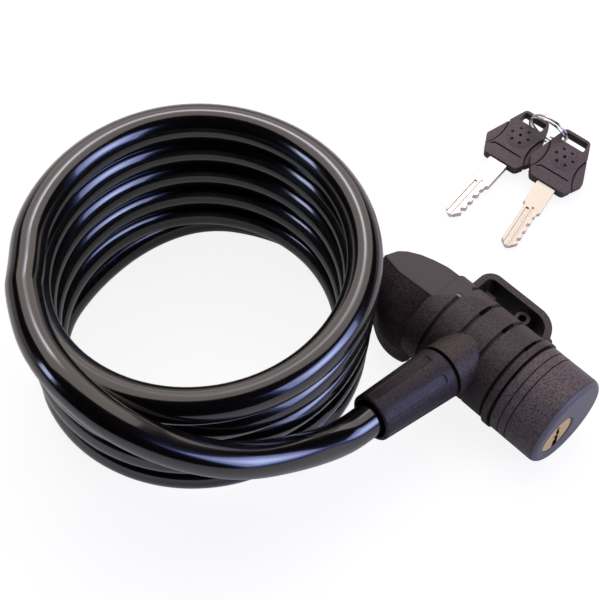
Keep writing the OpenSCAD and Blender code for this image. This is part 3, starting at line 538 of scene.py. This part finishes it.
COIL_LOW = Vector((-70.8, -54.2, 8.5))
COIL_HIGH = Vector((-68.3, -54.5, 0))
COIL_RADII = (46.3, 44.7)
COIL_PITCH = 10.5
COIL_START = 236
COIL_TURNS = 5
COIL_STEPS = COIL_TURNS * 24
COIL_FLAT = 1.6
COIL_FLAT_AT = 200
STUB = 3
ANCHOR_INSIDE, ANCHOR_STRAIGHT = 8, -2
SOCKET = Vector((-7.5, 0, 19.5))
SOCKET_LEAN = 4
SOCKET_RISE = 8
SHEATH_END = 34.4
BOOT_END = 44.4
ANCHOR = Vector((-45, -1, 8.5))
FRONT_ROUTE = [
    Vector(p)
    for p in (
        (-14, -70, 35),
        (-20, -84.6, 42),
        (-31, -96.6, 49.4),
        (-45, -104.6, 56.8),
        (-60, -106.8, 60.9),
        (-74, -104.4, 61.7),
    )
]
TAIL_ROUTE = [
    Vector(p)
    for p in (
        (-107.5, -79.2, 7.8),
        (-112, -68, 7),
        (-114.6, -56, 6.1),
        (-115.2, -44, 5.4),
        (-113.4, -33, 5.1),
        (-109.5, -23.8, 5.1),
        (-103.5, -16.2, 5.1),
        (-95.5, -10.4, 5.2),
        (-86, -6, 5.5),
        (-75, -3, 6),
        (-64, -1.5, 7),
        (-55, -1, 8),
    )
]


def socket_frame():
    """Turns local Z into the socket's outward direction, in millimetres."""
    lean = Matrix.Rotation(math.radians(-SOCKET_LEAN), 4, "Z")
    rise = Matrix.Rotation(math.radians(90 - SOCKET_RISE), 4, "X")
    return Matrix.Translation(SOCKET) @ lean @ rise


def coil_point(share):
    """A point of the coil, from its top at 0 to its foot at 1."""
    turn = math.radians(COIL_START - 360 * COIL_TURNS * share)
    radius = COIL_RADII[0] + (COIL_RADII[1] - COIL_RADII[0]) * share
    radius -= COIL_FLAT * max(0, math.cos(turn - math.radians(COIL_FLAT_AT))) ** 4
    centre = COIL_HIGH.lerp(COIL_LOW, share)
    height = COIL_LOW.z + COIL_TURNS * COIL_PITCH * (1 - share)
    return Vector((centre.x + radius * math.cos(turn), centre.y + radius * math.sin(turn), height))


def cable_route():
    """The whole centreline in metres, as the front stretch and the rest, with the shared point in both."""
    sizes = bpy.context.scene.lock_sizes
    across = sizes.diameter / MM
    turns = [coil_point(i / COIL_STEPS) for i in range(COIL_STEPS + 1)]
    coil_in = (turns[0] - turns[1]).normalized()
    coil_out = (turns[-1] - turns[-2]).normalized()
    first = turns[0] + STUB * coil_in
    last = turns[-1] + STUB * coil_out
    socket = socket_frame()
    start = [socket @ Vector((0, 0, s)) for s in (SHEATH_END, BOOT_END, BOOT_END + across)]
    front = [*start, *FRONT_ROUTE, first + STUB * coil_in, first]
    end = [ANCHOR + Vector((x, 0, 0)) for x in (ANCHOR_STRAIGHT, ANCHOR_INSIDE)]
    rest = [first, *turns, last, last + STUB * coil_out, *TAIL_ROUTE, *end]
    line = curve_through([p * MM for p in front + rest[1:]], sizes.ring_step)
    split = min(range(len(line)), key=lambda i: (line[i] - first * MM).length)
    return line[: split + 1], line[split:]


# ---------- pieces ----------


class LOCK_OT_camera(bpy.types.Operator):
    """Set the camera over the lock, looking down along the barrel"""

    bl_idname = "lock.camera"
    bl_label = "Camera"

    place = Vector((114.1, -192.0, 371.6))
    right = Vector((0.69395, 0.72002, 0.00183))
    up = Vector((-0.59855, 0.57547, 0.55729))
    lens = 85.36
    sensor = 36
    nearest = 0.01

    def execute(self, context):
        data = bpy.data.cameras.new("camera")
        data.lens = self.lens
        data.sensor_width = self.sensor
        data.clip_start = self.nearest
        camera = bpy.data.objects.new("camera", data)
        context.scene.collection.objects.link(camera)
        turned = Matrix((self.right, self.up, self.right.cross(self.up))).transposed().to_4x4()
        camera.matrix_world = Matrix.Translation(self.place * MM) @ turned
        context.scene.camera = camera
        return {"FINISHED"}


class LOCK_OT_cable(bpy.types.Operator):
    """Lay the coated cable: the coil with its fixed end, and the front stretch to the plug"""

    bl_idname = "lock.cable"
    bl_label = "Cable"

    def execute(self, context):
        sizes = context.scene.lock_sizes
        front, rest = cable_route()
        pvc = extruded_pvc()
        radius = sizes.diameter / 2
        coil = tube_mesh("cable_coating", rest, radius, sizes.sides)
        finish_piece(coil, "lock", pvc, "cable_pvc", "cable_coil", "cable_tail")
        lead = tube_mesh("cable_lead", front, radius, sizes.sides)
        lead.data.materials.append(pvc)
        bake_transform(lead)
        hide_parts("cable_front")
        return {"FINISHED"}


class LOCK_OT_boot(bpy.types.Operator):
    """Mould the plug's boot with its six sunk panels and its rim round the cable"""

    bl_idname = "lock.boot"
    bl_label = "Boot"

    # sunk panels: their number, the first one's angle, and lengths in millimetres
    panels = 6
    first_panel = math.radians(50)
    panel_start = 3.4
    panel_end = 1.4
    corner = 0.9
    step = 0.16
    skin = 0.35
    # the side's mesh, and where it starts and how much shorter than the boot it is
    segments = 216
    rows = 88
    side_start = 0.6
    side_less = 1.3
    bore = 5.1
    bore_end = 4.2
    # steps in from the outer radius, and distances from that end
    collar_end = ((0.6, 0.0), (0.25, 0.08), (0.06, 0.3))
    cable_end = ((0.08, 0.32), (0.3, 0.1), (0.62, 0.0), (1.1, 0.05))
    # room round the cable in the mouth, and distances from its end
    mouth = ((1.15, 0.3), (0.95, 1.2), (0.8, 4))

    def execute(self, context):
        sizes, colours = context.scene.lock_sizes, context.scene.lock_colours
        long = sizes.boot_length / MM
        r1, r2 = sizes.boot_radius_1 / MM, sizes.boot_radius_2 / MM
        wide, deep = sizes.panel_width / MM, sizes.panel_depth / MM
        cable = sizes.diameter / 2 / MM
        panel_from, panel_to = self.panel_start, long - self.panel_end
        slope = (r1 - r2) / long

        def outer(height):
            return r1 - slope * height

        def sunk(radius, height, turn):
            """The radius there, with the panels' flats sunk in."""
            if radius < outer(height) - self.skin or not panel_from - 1 < height < panel_to + 1:
                return radius
            pitch = math.tau / self.panels
            off = (turn - self.first_panel + pitch / 2) % pitch - pitch / 2
            aside = abs(radius * math.sin(off)) - (wide / 2 - self.corner)
            middle, half = (panel_from + panel_to) / 2, (panel_to - panel_from) / 2
            along = abs(height - middle) - (half - self.corner)
            away = math.hypot(max(aside, 0), max(along, 0)) + min(max(aside, along), 0) - self.corner
            share = min(1, max(0, 0.5 - away / self.step))
            flat = (outer(height) - deep) / math.cos(off)
            return radius + (min(flat, radius) - radius) * share * share * (3 - 2 * share)

        profile = [(self.bore, 0.0)]
        profile += [(r1 - less, height) for less, height in self.collar_end]
        for i in range(self.rows + 1):
            height = self.side_start + (long - self.side_less) * i / self.rows
            profile.append((outer(height), height))
        profile += [(r2 - less, long - back) for less, back in self.cable_end]
        profile += [(cable + room, long - back) for room, back in self.mouth]
        profile.append((self.bore, long - self.bore_end))
        points, faces = revolved(profile, self.segments, sunk)
        place = socket_frame() @ Matrix.Translation((0, 0, sizes.boot_from / MM))
        boot = mesh_piece("boot_shell", [place @ p * MM for p in points], faces, 42)
        grain = context.scene.lock_finishes.mould_grain
        worn = colours.moulding_edge_wear_and_highlight
        grained = moulded_plastic("polypropylene_grained_black", colours.boot, worn, grain, 0.42)
        finish_piece(boot, "plug", grained, "boot_plastic", "plug_boot")
        return {"FINISHED"}


class LOCK_OT_rear_head(bpy.types.Operator):
    """Mould the rear head: a swelling shell under a flat facet, with the cable's way in and two
    screw wells"""

    bl_idname = "lock.rear_head"
    bl_label = "Rear head"

    # X and Y of the facet's outline, how thick its rim is and how far it stays under the barrel's
    facet_line = (
        (-23, -1.4),
        (-40, -2.2),
        (-46.6, -1),
        (-45, 2.9),
        (-43, 4.8),
        (-39.4, 6.8),
        (-35.3, 8.2),
        (-31, 9.2),
        (-23, 9.5),
    )
    facet_rim = 0.5
    facet_gap = 0.03
    belly = Vector((-30.4, -0.6, 10.5))
    belly_r = 14.2
    swell = 1.5
    sides = 72
    # radius and height of the rounded foot, and X and radius of the rim round the cable
    foot = ((belly_r, 5), (13.4, 2.6), (11.2, 0.8))
    cable_rim = ((-46.4, 6.6), (-46, 7), (-45.4, 7.2))
    front_x = -25.6
    screw_x = (-29.5, -34.7)
    screw_z = 18.6
    # radius, start and end of a screw's well and of the cable's way, from their own places
    well = (2.3, 8.8, 30, 32)
    way_in = (6.5, -10, 9, 48)
    voxel = 0.34
    rounds = 4

    def shell_points(self, top):
        """Points whose hull is the head, in millimetres."""
        points = [Vector((x, y, z)) for x, y in self.facet_line for z in (top, top - self.facet_rim)]
        for i in range(self.sides):
            turn = math.tau * i / self.sides
            way = Vector((math.cos(turn), math.sin(turn), 0))
            edge = max(self.facet_line, key=lambda p: p[0] * way.x + p[1] * way.y)
            rim = Vector((*edge, top))
            low = self.belly + self.belly_r * way
            for share in (0.2, 0.4, 0.6, 0.8, 1.0):
                out = self.swell * 4 * share * (1 - share)
                points.append(rim.lerp(low, share) + out * (0.8 * way + Vector((0, 0, 0.6))))
            for radius, height in self.foot:
                points.append(Vector((self.belly.x, self.belly.y, height)) + radius * way)
            for x, radius in self.cable_rim:
                ring = Vector((0, math.cos(turn), math.sin(turn)))
                points.append(Vector((x, ANCHOR.y, ANCHOR.z)) + radius * ring)
        return points

    def shell(self, top):
        """The head's closed shell, cut off flat where it meets the barrel."""
        shell = bmesh.new()
        for p in self.shell_points(top):
            shell.verts.new(p * MM)
        bmesh.ops.convex_hull(shell, input=shell.verts)
        bmesh.ops.delete(shell, geom=[v for v in shell.verts if not v.link_faces], context="VERTS")
        cut = bmesh.ops.bisect_plane(
            shell,
            geom=shell.verts[:] + shell.edges[:] + shell.faces[:],
            plane_co=(self.front_x * MM, 0, 0),
            plane_no=(1, 0, 0),
            clear_outer=True,
        )
        rim = [g for g in cut["geom_cut"] if isinstance(g, bmesh.types.BMEdge)]
        bmesh.ops.contextual_create(shell, geom=rim)
        bmesh.ops.recalc_face_normals(shell, faces=shell.faces)
        mesh = bpy.data.meshes.new("head_shell")
        shell.to_mesh(mesh)
        shell.free()
        return keep_mesh("head_shell", mesh)

    def drill(self, place, degrees, axis, size):
        """A round cutter from a place, turned about an axis."""
        radius, start, end, segments = size
        centre = 0.02
        points, faces = revolved([(centre, start), (radius, start), (radius, end), (centre, end)], segments)
        turned = Matrix.Translation(place) @ Matrix.Rotation(math.radians(degrees), 4, axis)
        return mesh_piece("well", [turned @ p * MM for p in points], faces)

    def execute(self, context):
        sizes, colours = context.scene.lock_sizes, context.scene.lock_colours
        head = self.shell(sizes.facet_height / MM - self.facet_gap)
        wells = [self.drill((x, 0, self.screw_z), -90, "X", self.well) for x in self.screw_x]
        wells.append(self.drill(ANCHOR, 90, "Y", self.way_in))
        for well in wells:
            add_modifier(head, "BOOLEAN", operation="DIFFERENCE", solver="EXACT", object=well)
        add_modifier(head, "REMESH", mode="VOXEL", voxel_size=self.voxel * MM, use_smooth_shade=True)
        add_modifier(head, "SMOOTH", factor=0.5, iterations=self.rounds)
        freeze(head)
        for well in wells:
            bpy.data.objects.remove(well)
        grain, worn = context.scene.lock_finishes.mould_grain, colours.moulding_edge_wear_and_highlight
        finish = moulded_plastic(
            "abs_grained_black_head", colours.moulding, worn, grain, 0.44, flat=facet_flat()
        )
        finish_piece(head, "lock", finish, "moulded_black", "rear_head")
        return {"FINISHED"}


class LOCK_OT_barrel(bpy.types.Operator):
    """Finish the moulded barrel, its trim ring and its front cap"""

    bl_idname = "lock.barrel"
    bl_label = "Barrel"

    def execute(self, context):
        colours = context.scene.lock_colours
        grain, worn = context.scene.lock_finishes.mould_grain, colours.moulding_edge_wear_and_highlight
        barrel = moulded_plastic(
            "abs_grained_black", colours.moulding, worn, grain, 0.44, flat=facet_flat()
        )
        dress(barrel, "barrel_housing", "trim_ring")
        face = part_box("front_cap")[1].x
        cap_end = (0, face - 2.1 * MM, face + 0.2 * MM, 0.4, colours.cap_face, 0.42)
        cap = moulded_plastic("abs_grained_black_cap", colours.cap, worn, grain, 0.44, flat=cap_end)
        dress(cap, "front_cap")
        return {"FINISHED"}


class LOCK_OT_key_cylinder(bpy.types.Operator):
    """Finish the brass key cylinder with its pins, tail, clips and springs"""

    bl_idname = "lock.key_cylinder"
    bl_label = "Key cylinder"

    def execute(self, context):
        colours = context.scene.lock_colours
        low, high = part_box("key_cylinder")
        axis = (0, (low.y + high.y) / 2, (low.z + high.z) / 2)
        brass = turned_metal("brass_blasted", colours.brass, 0.45, axis, metallic=0.05, face=high.x)
        dress(brass, "key_cylinder")
        dress(turned_metal("brass_turned_pins", colours.brass, 0.3, axis), "driver_pins", "key_pins")
        dress(turned_metal("steel_turned_tail", colours.steel, 0.32, axis), "cylinder_tail")
        spring = stamped_metal("spring_steel_blued", linear("#5d6063"), 0.35)
        dress(spring, "tail_clip", "anchor_clip", "driver_springs", "eject_spring")
        return {"FINISHED"}


class LOCK_OT_mechanism(bpy.types.Operator):
    """Finish the die-cast core, the locking pin and the fittings inside"""

    bl_idname = "lock.mechanism"
    bl_label = "Mechanism"

    def execute(self, context):
        steel = context.scene.lock_colours.steel
        dress(cast_zinc(), "lock_body", "chamber_cover")
        pin = turned_metal("steel_turned_pin", steel, 0.22, tuple(SOCKET * MM), "Y")
        dress(pin, "locking_pin", "socket_bush")
        crimped = stamped_metal("steel_crimped_zinc_plated", linear("#a2a5aa"), 0.35)
        dress(crimped, "plug_ferrule", "anchor_ferrule")
        rope = stamped_metal("steel_rope_galvanised", linear("#c4c7ca"), 0.4, (0.2, 1, 1))
        dress(rope, "plug_rope", "anchor_rope")
        dress(nitrile_rubber(), "plug_seal", "anchor_gland")
        return {"FINISHED"}


class LOCK_OT_bracket(bpy.types.Operator):
    """Finish the bracket shoe, its strap loop, pins and screws"""

    bl_idname = "lock.bracket"
    bl_label = "Bracket"

    def execute(self, context):
        colours = context.scene.lock_colours
        grain, worn = context.scene.lock_finishes.mould_grain, colours.moulding_edge_wear_and_highlight
        nylon = moulded_plastic("nylon_moulded_black", colours.moulding, worn, grain, 0.4)
        dress(nylon, "bracket_base", "bracket_strap")
        steel = turned_metal("steel_turned_screws", colours.steel, 0.3, (0, 0, 0), "Y")
        dress(steel, "bracket_screws", "head_screws", "strap_pins")
        return {"FINISHED"}


class LOCK_OT_keys(bpy.types.Operator):
    """Finish the two keys, with moulded bows on nickel silver blades"""

    bl_idname = "lock.keys"
    bl_label = "Keys"

    def execute(self, context):
        colours, grain = context.scene.lock_colours, context.scene.lock_finishes.key_grain
        # worn is the bows' edge tone, partly wear and partly a painted highlight; edges is painted shade on
        # the blades' edges
        worn, edges = linear("#7a7073"), linear("#6b5644")
        bow = moulded_plastic(
            "abs_satin_warm_grey", colours.key_plastic, worn, grain, 0.42, depth=0.04, edge_radius=0.45 * MM
        )
        dress(bow, "key_1_bow", "key_2_bow")
        blade = stamped_metal("nickel_silver_milled", colours.nickel_silver, 0.36, (1, 0.15, 1), edges)
        dress(blade, "key_1_blade", "key_2_blade")
        return {"FINISHED"}


class LOCK_OT_key_ring(bpy.types.Operator):
    """Wind the split ring that holds the keys"""

    bl_idname = "lock.key_ring"
    bl_label = "Key ring"

    place = Vector((-53.3, 86, 7.3))
    heading = 8.5
    lean = 15
    turns = 2
    gap = 0.42
    steps = 90
    sides = 14

    def execute(self, context):
        sizes, colours = context.scene.lock_sizes, context.scene.lock_colours
        radius = sizes.ring_radius / MM
        pitch = sizes.wire_diameter / MM + self.gap
        heading = Matrix.Rotation(math.radians(self.heading), 4, "Z")
        lean = Matrix.Rotation(math.radians(self.lean), 4, "X")
        stand = Matrix.Translation(self.place) @ (heading @ lean)
        steps = self.steps * self.turns
        line = []
        for i in range(steps + 1):
            share = i / steps
            turn = math.tau * self.turns * share - math.pi / 2
            aside = pitch * self.turns * (0.5 - share)
            line.append(stand @ Vector((radius * math.cos(turn), aside, radius * math.sin(turn))) * MM)
        ring = tube_mesh("split_ring", line, sizes.wire_diameter / 2, self.sides)
        nickel = stamped_metal("nickel_plated_spring_wire", colours.nickel, 0.14)
        finish_piece(ring, "keys", nickel, "nickel_plate", "key_ring")
        return {"FINISHED"}


class LOCK_OT_stage(bpy.types.Operator):
    """Lay the pale floor and hang the soft studio lamps"""

    bl_idname = "lock.stage"
    bl_label = "Stage"

    # half the floor's side, how far it lies under the part, its shade to the camera and its glow
    floor_half = 3.0
    floor_drop = 0.00005
    floor_seen = 0.27
    floor_glow = 0.88
    floor_glow_in_gloss = 0.12
    # the flags' radius, height and thickness, and the hole in their lid
    flag_radius = 2.4
    flag_height = 2.2
    flag_thick = 0.05
    flag_hole = 0.02
    flag_segments = 48
    world_light = 0.05
    aim = Vector((-40, -10, 15)) * MM

    # name, direction to the lamp, distance, width, height, colour, radiance
    lamps = (
        ("lamp_overhead_soft", (-0.40, 0.39, 0.83), 1.25, 1.85, 1.85, "#fff3ec", 1.45),
        ("lamp_overhead_core", (-0.40, 0.39, 0.83), 1.2, 0.16, 0.16, "#fbf6ff", 4.0),
        ("lamp_window_right", (0.84, 0.31, 0.45), 1.3, 1.1, 0.8, "#c8d2ff", 2.7),
        ("lamp_strip_left", (-0.40, -0.80, 0.45), 1.3, 0.28, 0.45, "#c9d4ff", 4.0),
    )

    # azimuth, elevation, half width and half height in degrees, soft share, colour, radiance
    cards = (
        (20, 24, 28, 23, 0.3, "#8c9dff", 2.0),
        (22, 26, 17, 14, 0.9, "#c9d6ff", 7.0),
        (-115, 27, 9, 10, 0.6, "#ccd3ff", 4.0),
        (136, 56, 11, 11, 1.0, "#efe9ff", 4.0),
        (121, 9, 78, 9, 0.5, "#f4e8e6", 0.6),
        (196, 10, 60, 12, 0.5, "#efe2e6", 0.5),
    )

    def execute(self, context):
        self.lay_floor(context)
        self.hang_flags()
        self.hang_lamps(context)
        self.light_world(context)
        context.scene.view_settings.view_transform = "Standard"
        return {"FINISHED"}

    def lay_floor(self, context):
        """Matt paper that the camera and shiny surfaces see nearly white, and that keeps its shadow."""
        side, drop = self.floor_half, Vector((0, 0, self.floor_drop))
        corners = [(-side, -side, 0), (side, -side, 0), (side, side, 0), (-side, side, 0)]
        floor = mesh_piece("floor", [Vector(c) - drop for c in corners], [(0, 1, 2, 3)])
        material, tree = blank_material("paper_white_matt")
        rays = add(tree, "ShaderNodeLightPath")
        either = (rays["Is Camera Ray"], rays["Is Transmission Ray"])
        seen = add(tree, "ShaderNodeMath", either, operation="MAXIMUM")[0]
        grey = rgba((self.floor_seen,) * 3)
        paper = layered(tree, rgba(context.scene.lock_colours.floor), (seen, grey))
        lit = add(tree, "ShaderNodeBsdfDiffuse", {"Color": paper})["BSDF"]
        shown = add(tree, "ShaderNodeMath", (seen, self.floor_glow), operation="MULTIPLY")[0]
        mirrored = (rays["Is Glossy Ray"], self.floor_glow_in_gloss, shown)
        strength = add(tree, "ShaderNodeMath", mirrored, operation="MULTIPLY_ADD")[0]
        glow = add(tree, "ShaderNodeEmission", {"Strength": strength})["Emission"]
        both = add(tree, "ShaderNodeAddShader", (lit, glow))["Shader"]
        add(tree, "ShaderNodeOutputMaterial", {"Surface": both})
        floor.data.materials.append(material)

    def hang_flags(self):
        """Black flags round and over the set, which only shiny surfaces show, keep its blacks deep,
        and pale cards on them draw the soft highlights."""
        hole, inner, low = self.flag_hole, self.flag_radius, self.flag_height
        outer, high = inner + self.flag_thick, low + self.flag_thick
        outline = [(inner, 0.0), (inner, low), (hole, low), (hole, high), (outer, high), (outer, 0.0)]
        flags = mesh_piece("black_flags", *revolved(outline, self.flag_segments))
        material, tree = blank_material("black_velvet")
        nap = (pattern(tree, 4 * MM), HOLLOW, CREST, 0.002, 0.006)
        shade = add(tree, "ShaderNodeMapRange", nap)["Result"]
        cloth = add(tree, "ShaderNodeBsdfDiffuse", {"Color": shade})["BSDF"]
        glow = add(tree, "ShaderNodeEmission", {"Color": self.card_light(tree)})["Emission"]
        both = add(tree, "ShaderNodeAddShader", (cloth, glow))["Shader"]
        add(tree, "ShaderNodeOutputMaterial", {"Surface": both})
        flags.data.materials.append(material)
        flags.visible_camera = False
        flags.visible_diffuse = False
        flags.visible_transmission = False
        flags.visible_shadow = False

    def card_light(self, tree):
        """Light of the soft-edged cards that hang on the flags."""
        place = add(tree, "ShaderNodeTexCoord")["Object"]
        way = add(tree, "ShaderNodeVectorMath", (place,), operation="NORMALIZE")["Vector"]
        total = (0, 0, 0)
        for azimuth, elevation, half_wide, half_high, soft, code, radiance in self.cards:
            level = Matrix.Rotation(math.radians(azimuth), 3, "Z")
            turn = level @ Matrix.Rotation(math.radians(-elevation), 3, "Y")
            ahead, side, up = (turn.col[i] for i in range(3))
            offsets = []
            for axis, half in ((side, half_wide), (up, half_high)):
                scaled = (way, axis / math.sin(math.radians(half)))
                off = add(tree, "ShaderNodeVectorMath", scaled, operation="DOT_PRODUCT")["Value"]
                offsets.append(add(tree, "ShaderNodeMath", (off,), operation="ABSOLUTE")[0])
            away = add(tree, "ShaderNodeMath", offsets, operation="MAXIMUM")[0]
            inside = add(tree, "ShaderNodeMapRange", (away, 1 - soft, 1.0, 1.0, 0.0))["Result"]
            facing = add(tree, "ShaderNodeVectorMath", (way, ahead), operation="DOT_PRODUCT")["Value"]
            front = add(tree, "ShaderNodeMath", (facing, 0.0), operation="GREATER_THAN")[0]
            share = add(tree, "ShaderNodeMath", (inside, front), operation="MULTIPLY")[0]
            lit = ([c * radiance for c in linear(code)], share, total)
            total = add(tree, "ShaderNodeVectorMath", lit, operation="MULTIPLY_ADD")["Vector"]
        return total

    def hang_lamps(self, context):
        """Area lamps that face the lock, each as bright as its radiance."""
        for name, way, distance, width, height, code, radiance in self.lamps:
            data = bpy.data.lights.new(name, "AREA")
            data.shape = "RECTANGLE"
            data.size = width
            data.size_y = height
            data.color = linear(code)
            data.energy = radiance * math.pi * width * height
            lamp = bpy.data.objects.new(name, data)
            context.scene.collection.objects.link(lamp)
            direction = Vector(way).normalized()
            turned = direction.to_track_quat("Z", "Y").to_matrix().to_4x4()
            lamp.matrix_world = Matrix.Translation(self.aim + distance * direction) @ turned

    def light_world(self, context):
        """A world that shows white, and adds a little light from all sides."""
        world = bpy.data.worlds.new("studio")
        world.use_nodes = True
        tree = world.node_tree
        tree.nodes.clear()
        rays = add(tree, "ShaderNodeLightPath")
        seen = rays["Is Camera Ray"]
        for other in ("Is Glossy Ray", "Is Transmission Ray"):
            seen = add(tree, "ShaderNodeMath", (seen, rays[other]), operation="MAXIMUM")[0]
        dim, white = (
            add(tree, "ShaderNodeBackground", {"Color": (1, 1, 1, 1), "Strength": strength})["Background"]
            for strength in (self.world_light, 1.0)
        )
        mixed = add(tree, "ShaderNodeMixShader", (seen, dim, white))["Shader"]
        add(tree, "ShaderNodeOutputWorld", {"Surface": mixed})
        context.scene.world = world


OPERATORS = (
    LOCK_OT_camera,
    LOCK_OT_cable,
    LOCK_OT_boot,
    LOCK_OT_rear_head,
    LOCK_OT_barrel,
    LOCK_OT_key_cylinder,
    LOCK_OT_mechanism,
    LOCK_OT_bracket,
    LOCK_OT_keys,
    LOCK_OT_key_ring,
    LOCK_OT_stage,
)


class LOCK_PT_panel(bpy.types.Panel):
    """Sizes, colours and pieces of the cable lock"""

    bl_idname = "LOCK_PT_panel"
    bl_label = "Coil Cable Lock"
    bl_space_type = "VIEW_3D"
    bl_region_type = "UI"
    bl_category = "Cable Lock"

    def draw(self, context):
        for operator in OPERATORS:
            self.layout.operator(operator.bl_idname)
        for group in (context.scene.lock_sizes, context.scene.lock_finishes, context.scene.lock_colours):
            box = self.layout.box()
            for name in group.__annotations__:
                box.prop(group, name)


CLASSES = (CableSizes, FinishSizes, LockColours, *OPERATORS, LOCK_PT_panel)


def register():
    for item in CLASSES:
        bpy.utils.register_class(item)
    bpy.types.Scene.lock_sizes = PointerProperty(type=CableSizes)
    bpy.types.Scene.lock_finishes = PointerProperty(type=FinishSizes)
    bpy.types.Scene.lock_colours = PointerProperty(type=LockColours)


def unregister():
    del bpy.types.Scene.lock_colours
    del bpy.types.Scene.lock_finishes
    del bpy.types.Scene.lock_sizes
    for item in reversed(CLASSES):
        bpy.utils.unregister_class(item)


def main():
    register()
    for operator in OPERATORS:
        group, name = operator.bl_idname.split(".")
        getattr(getattr(bpy.ops, group), name)()


if __name__ == "__main__":
    main()
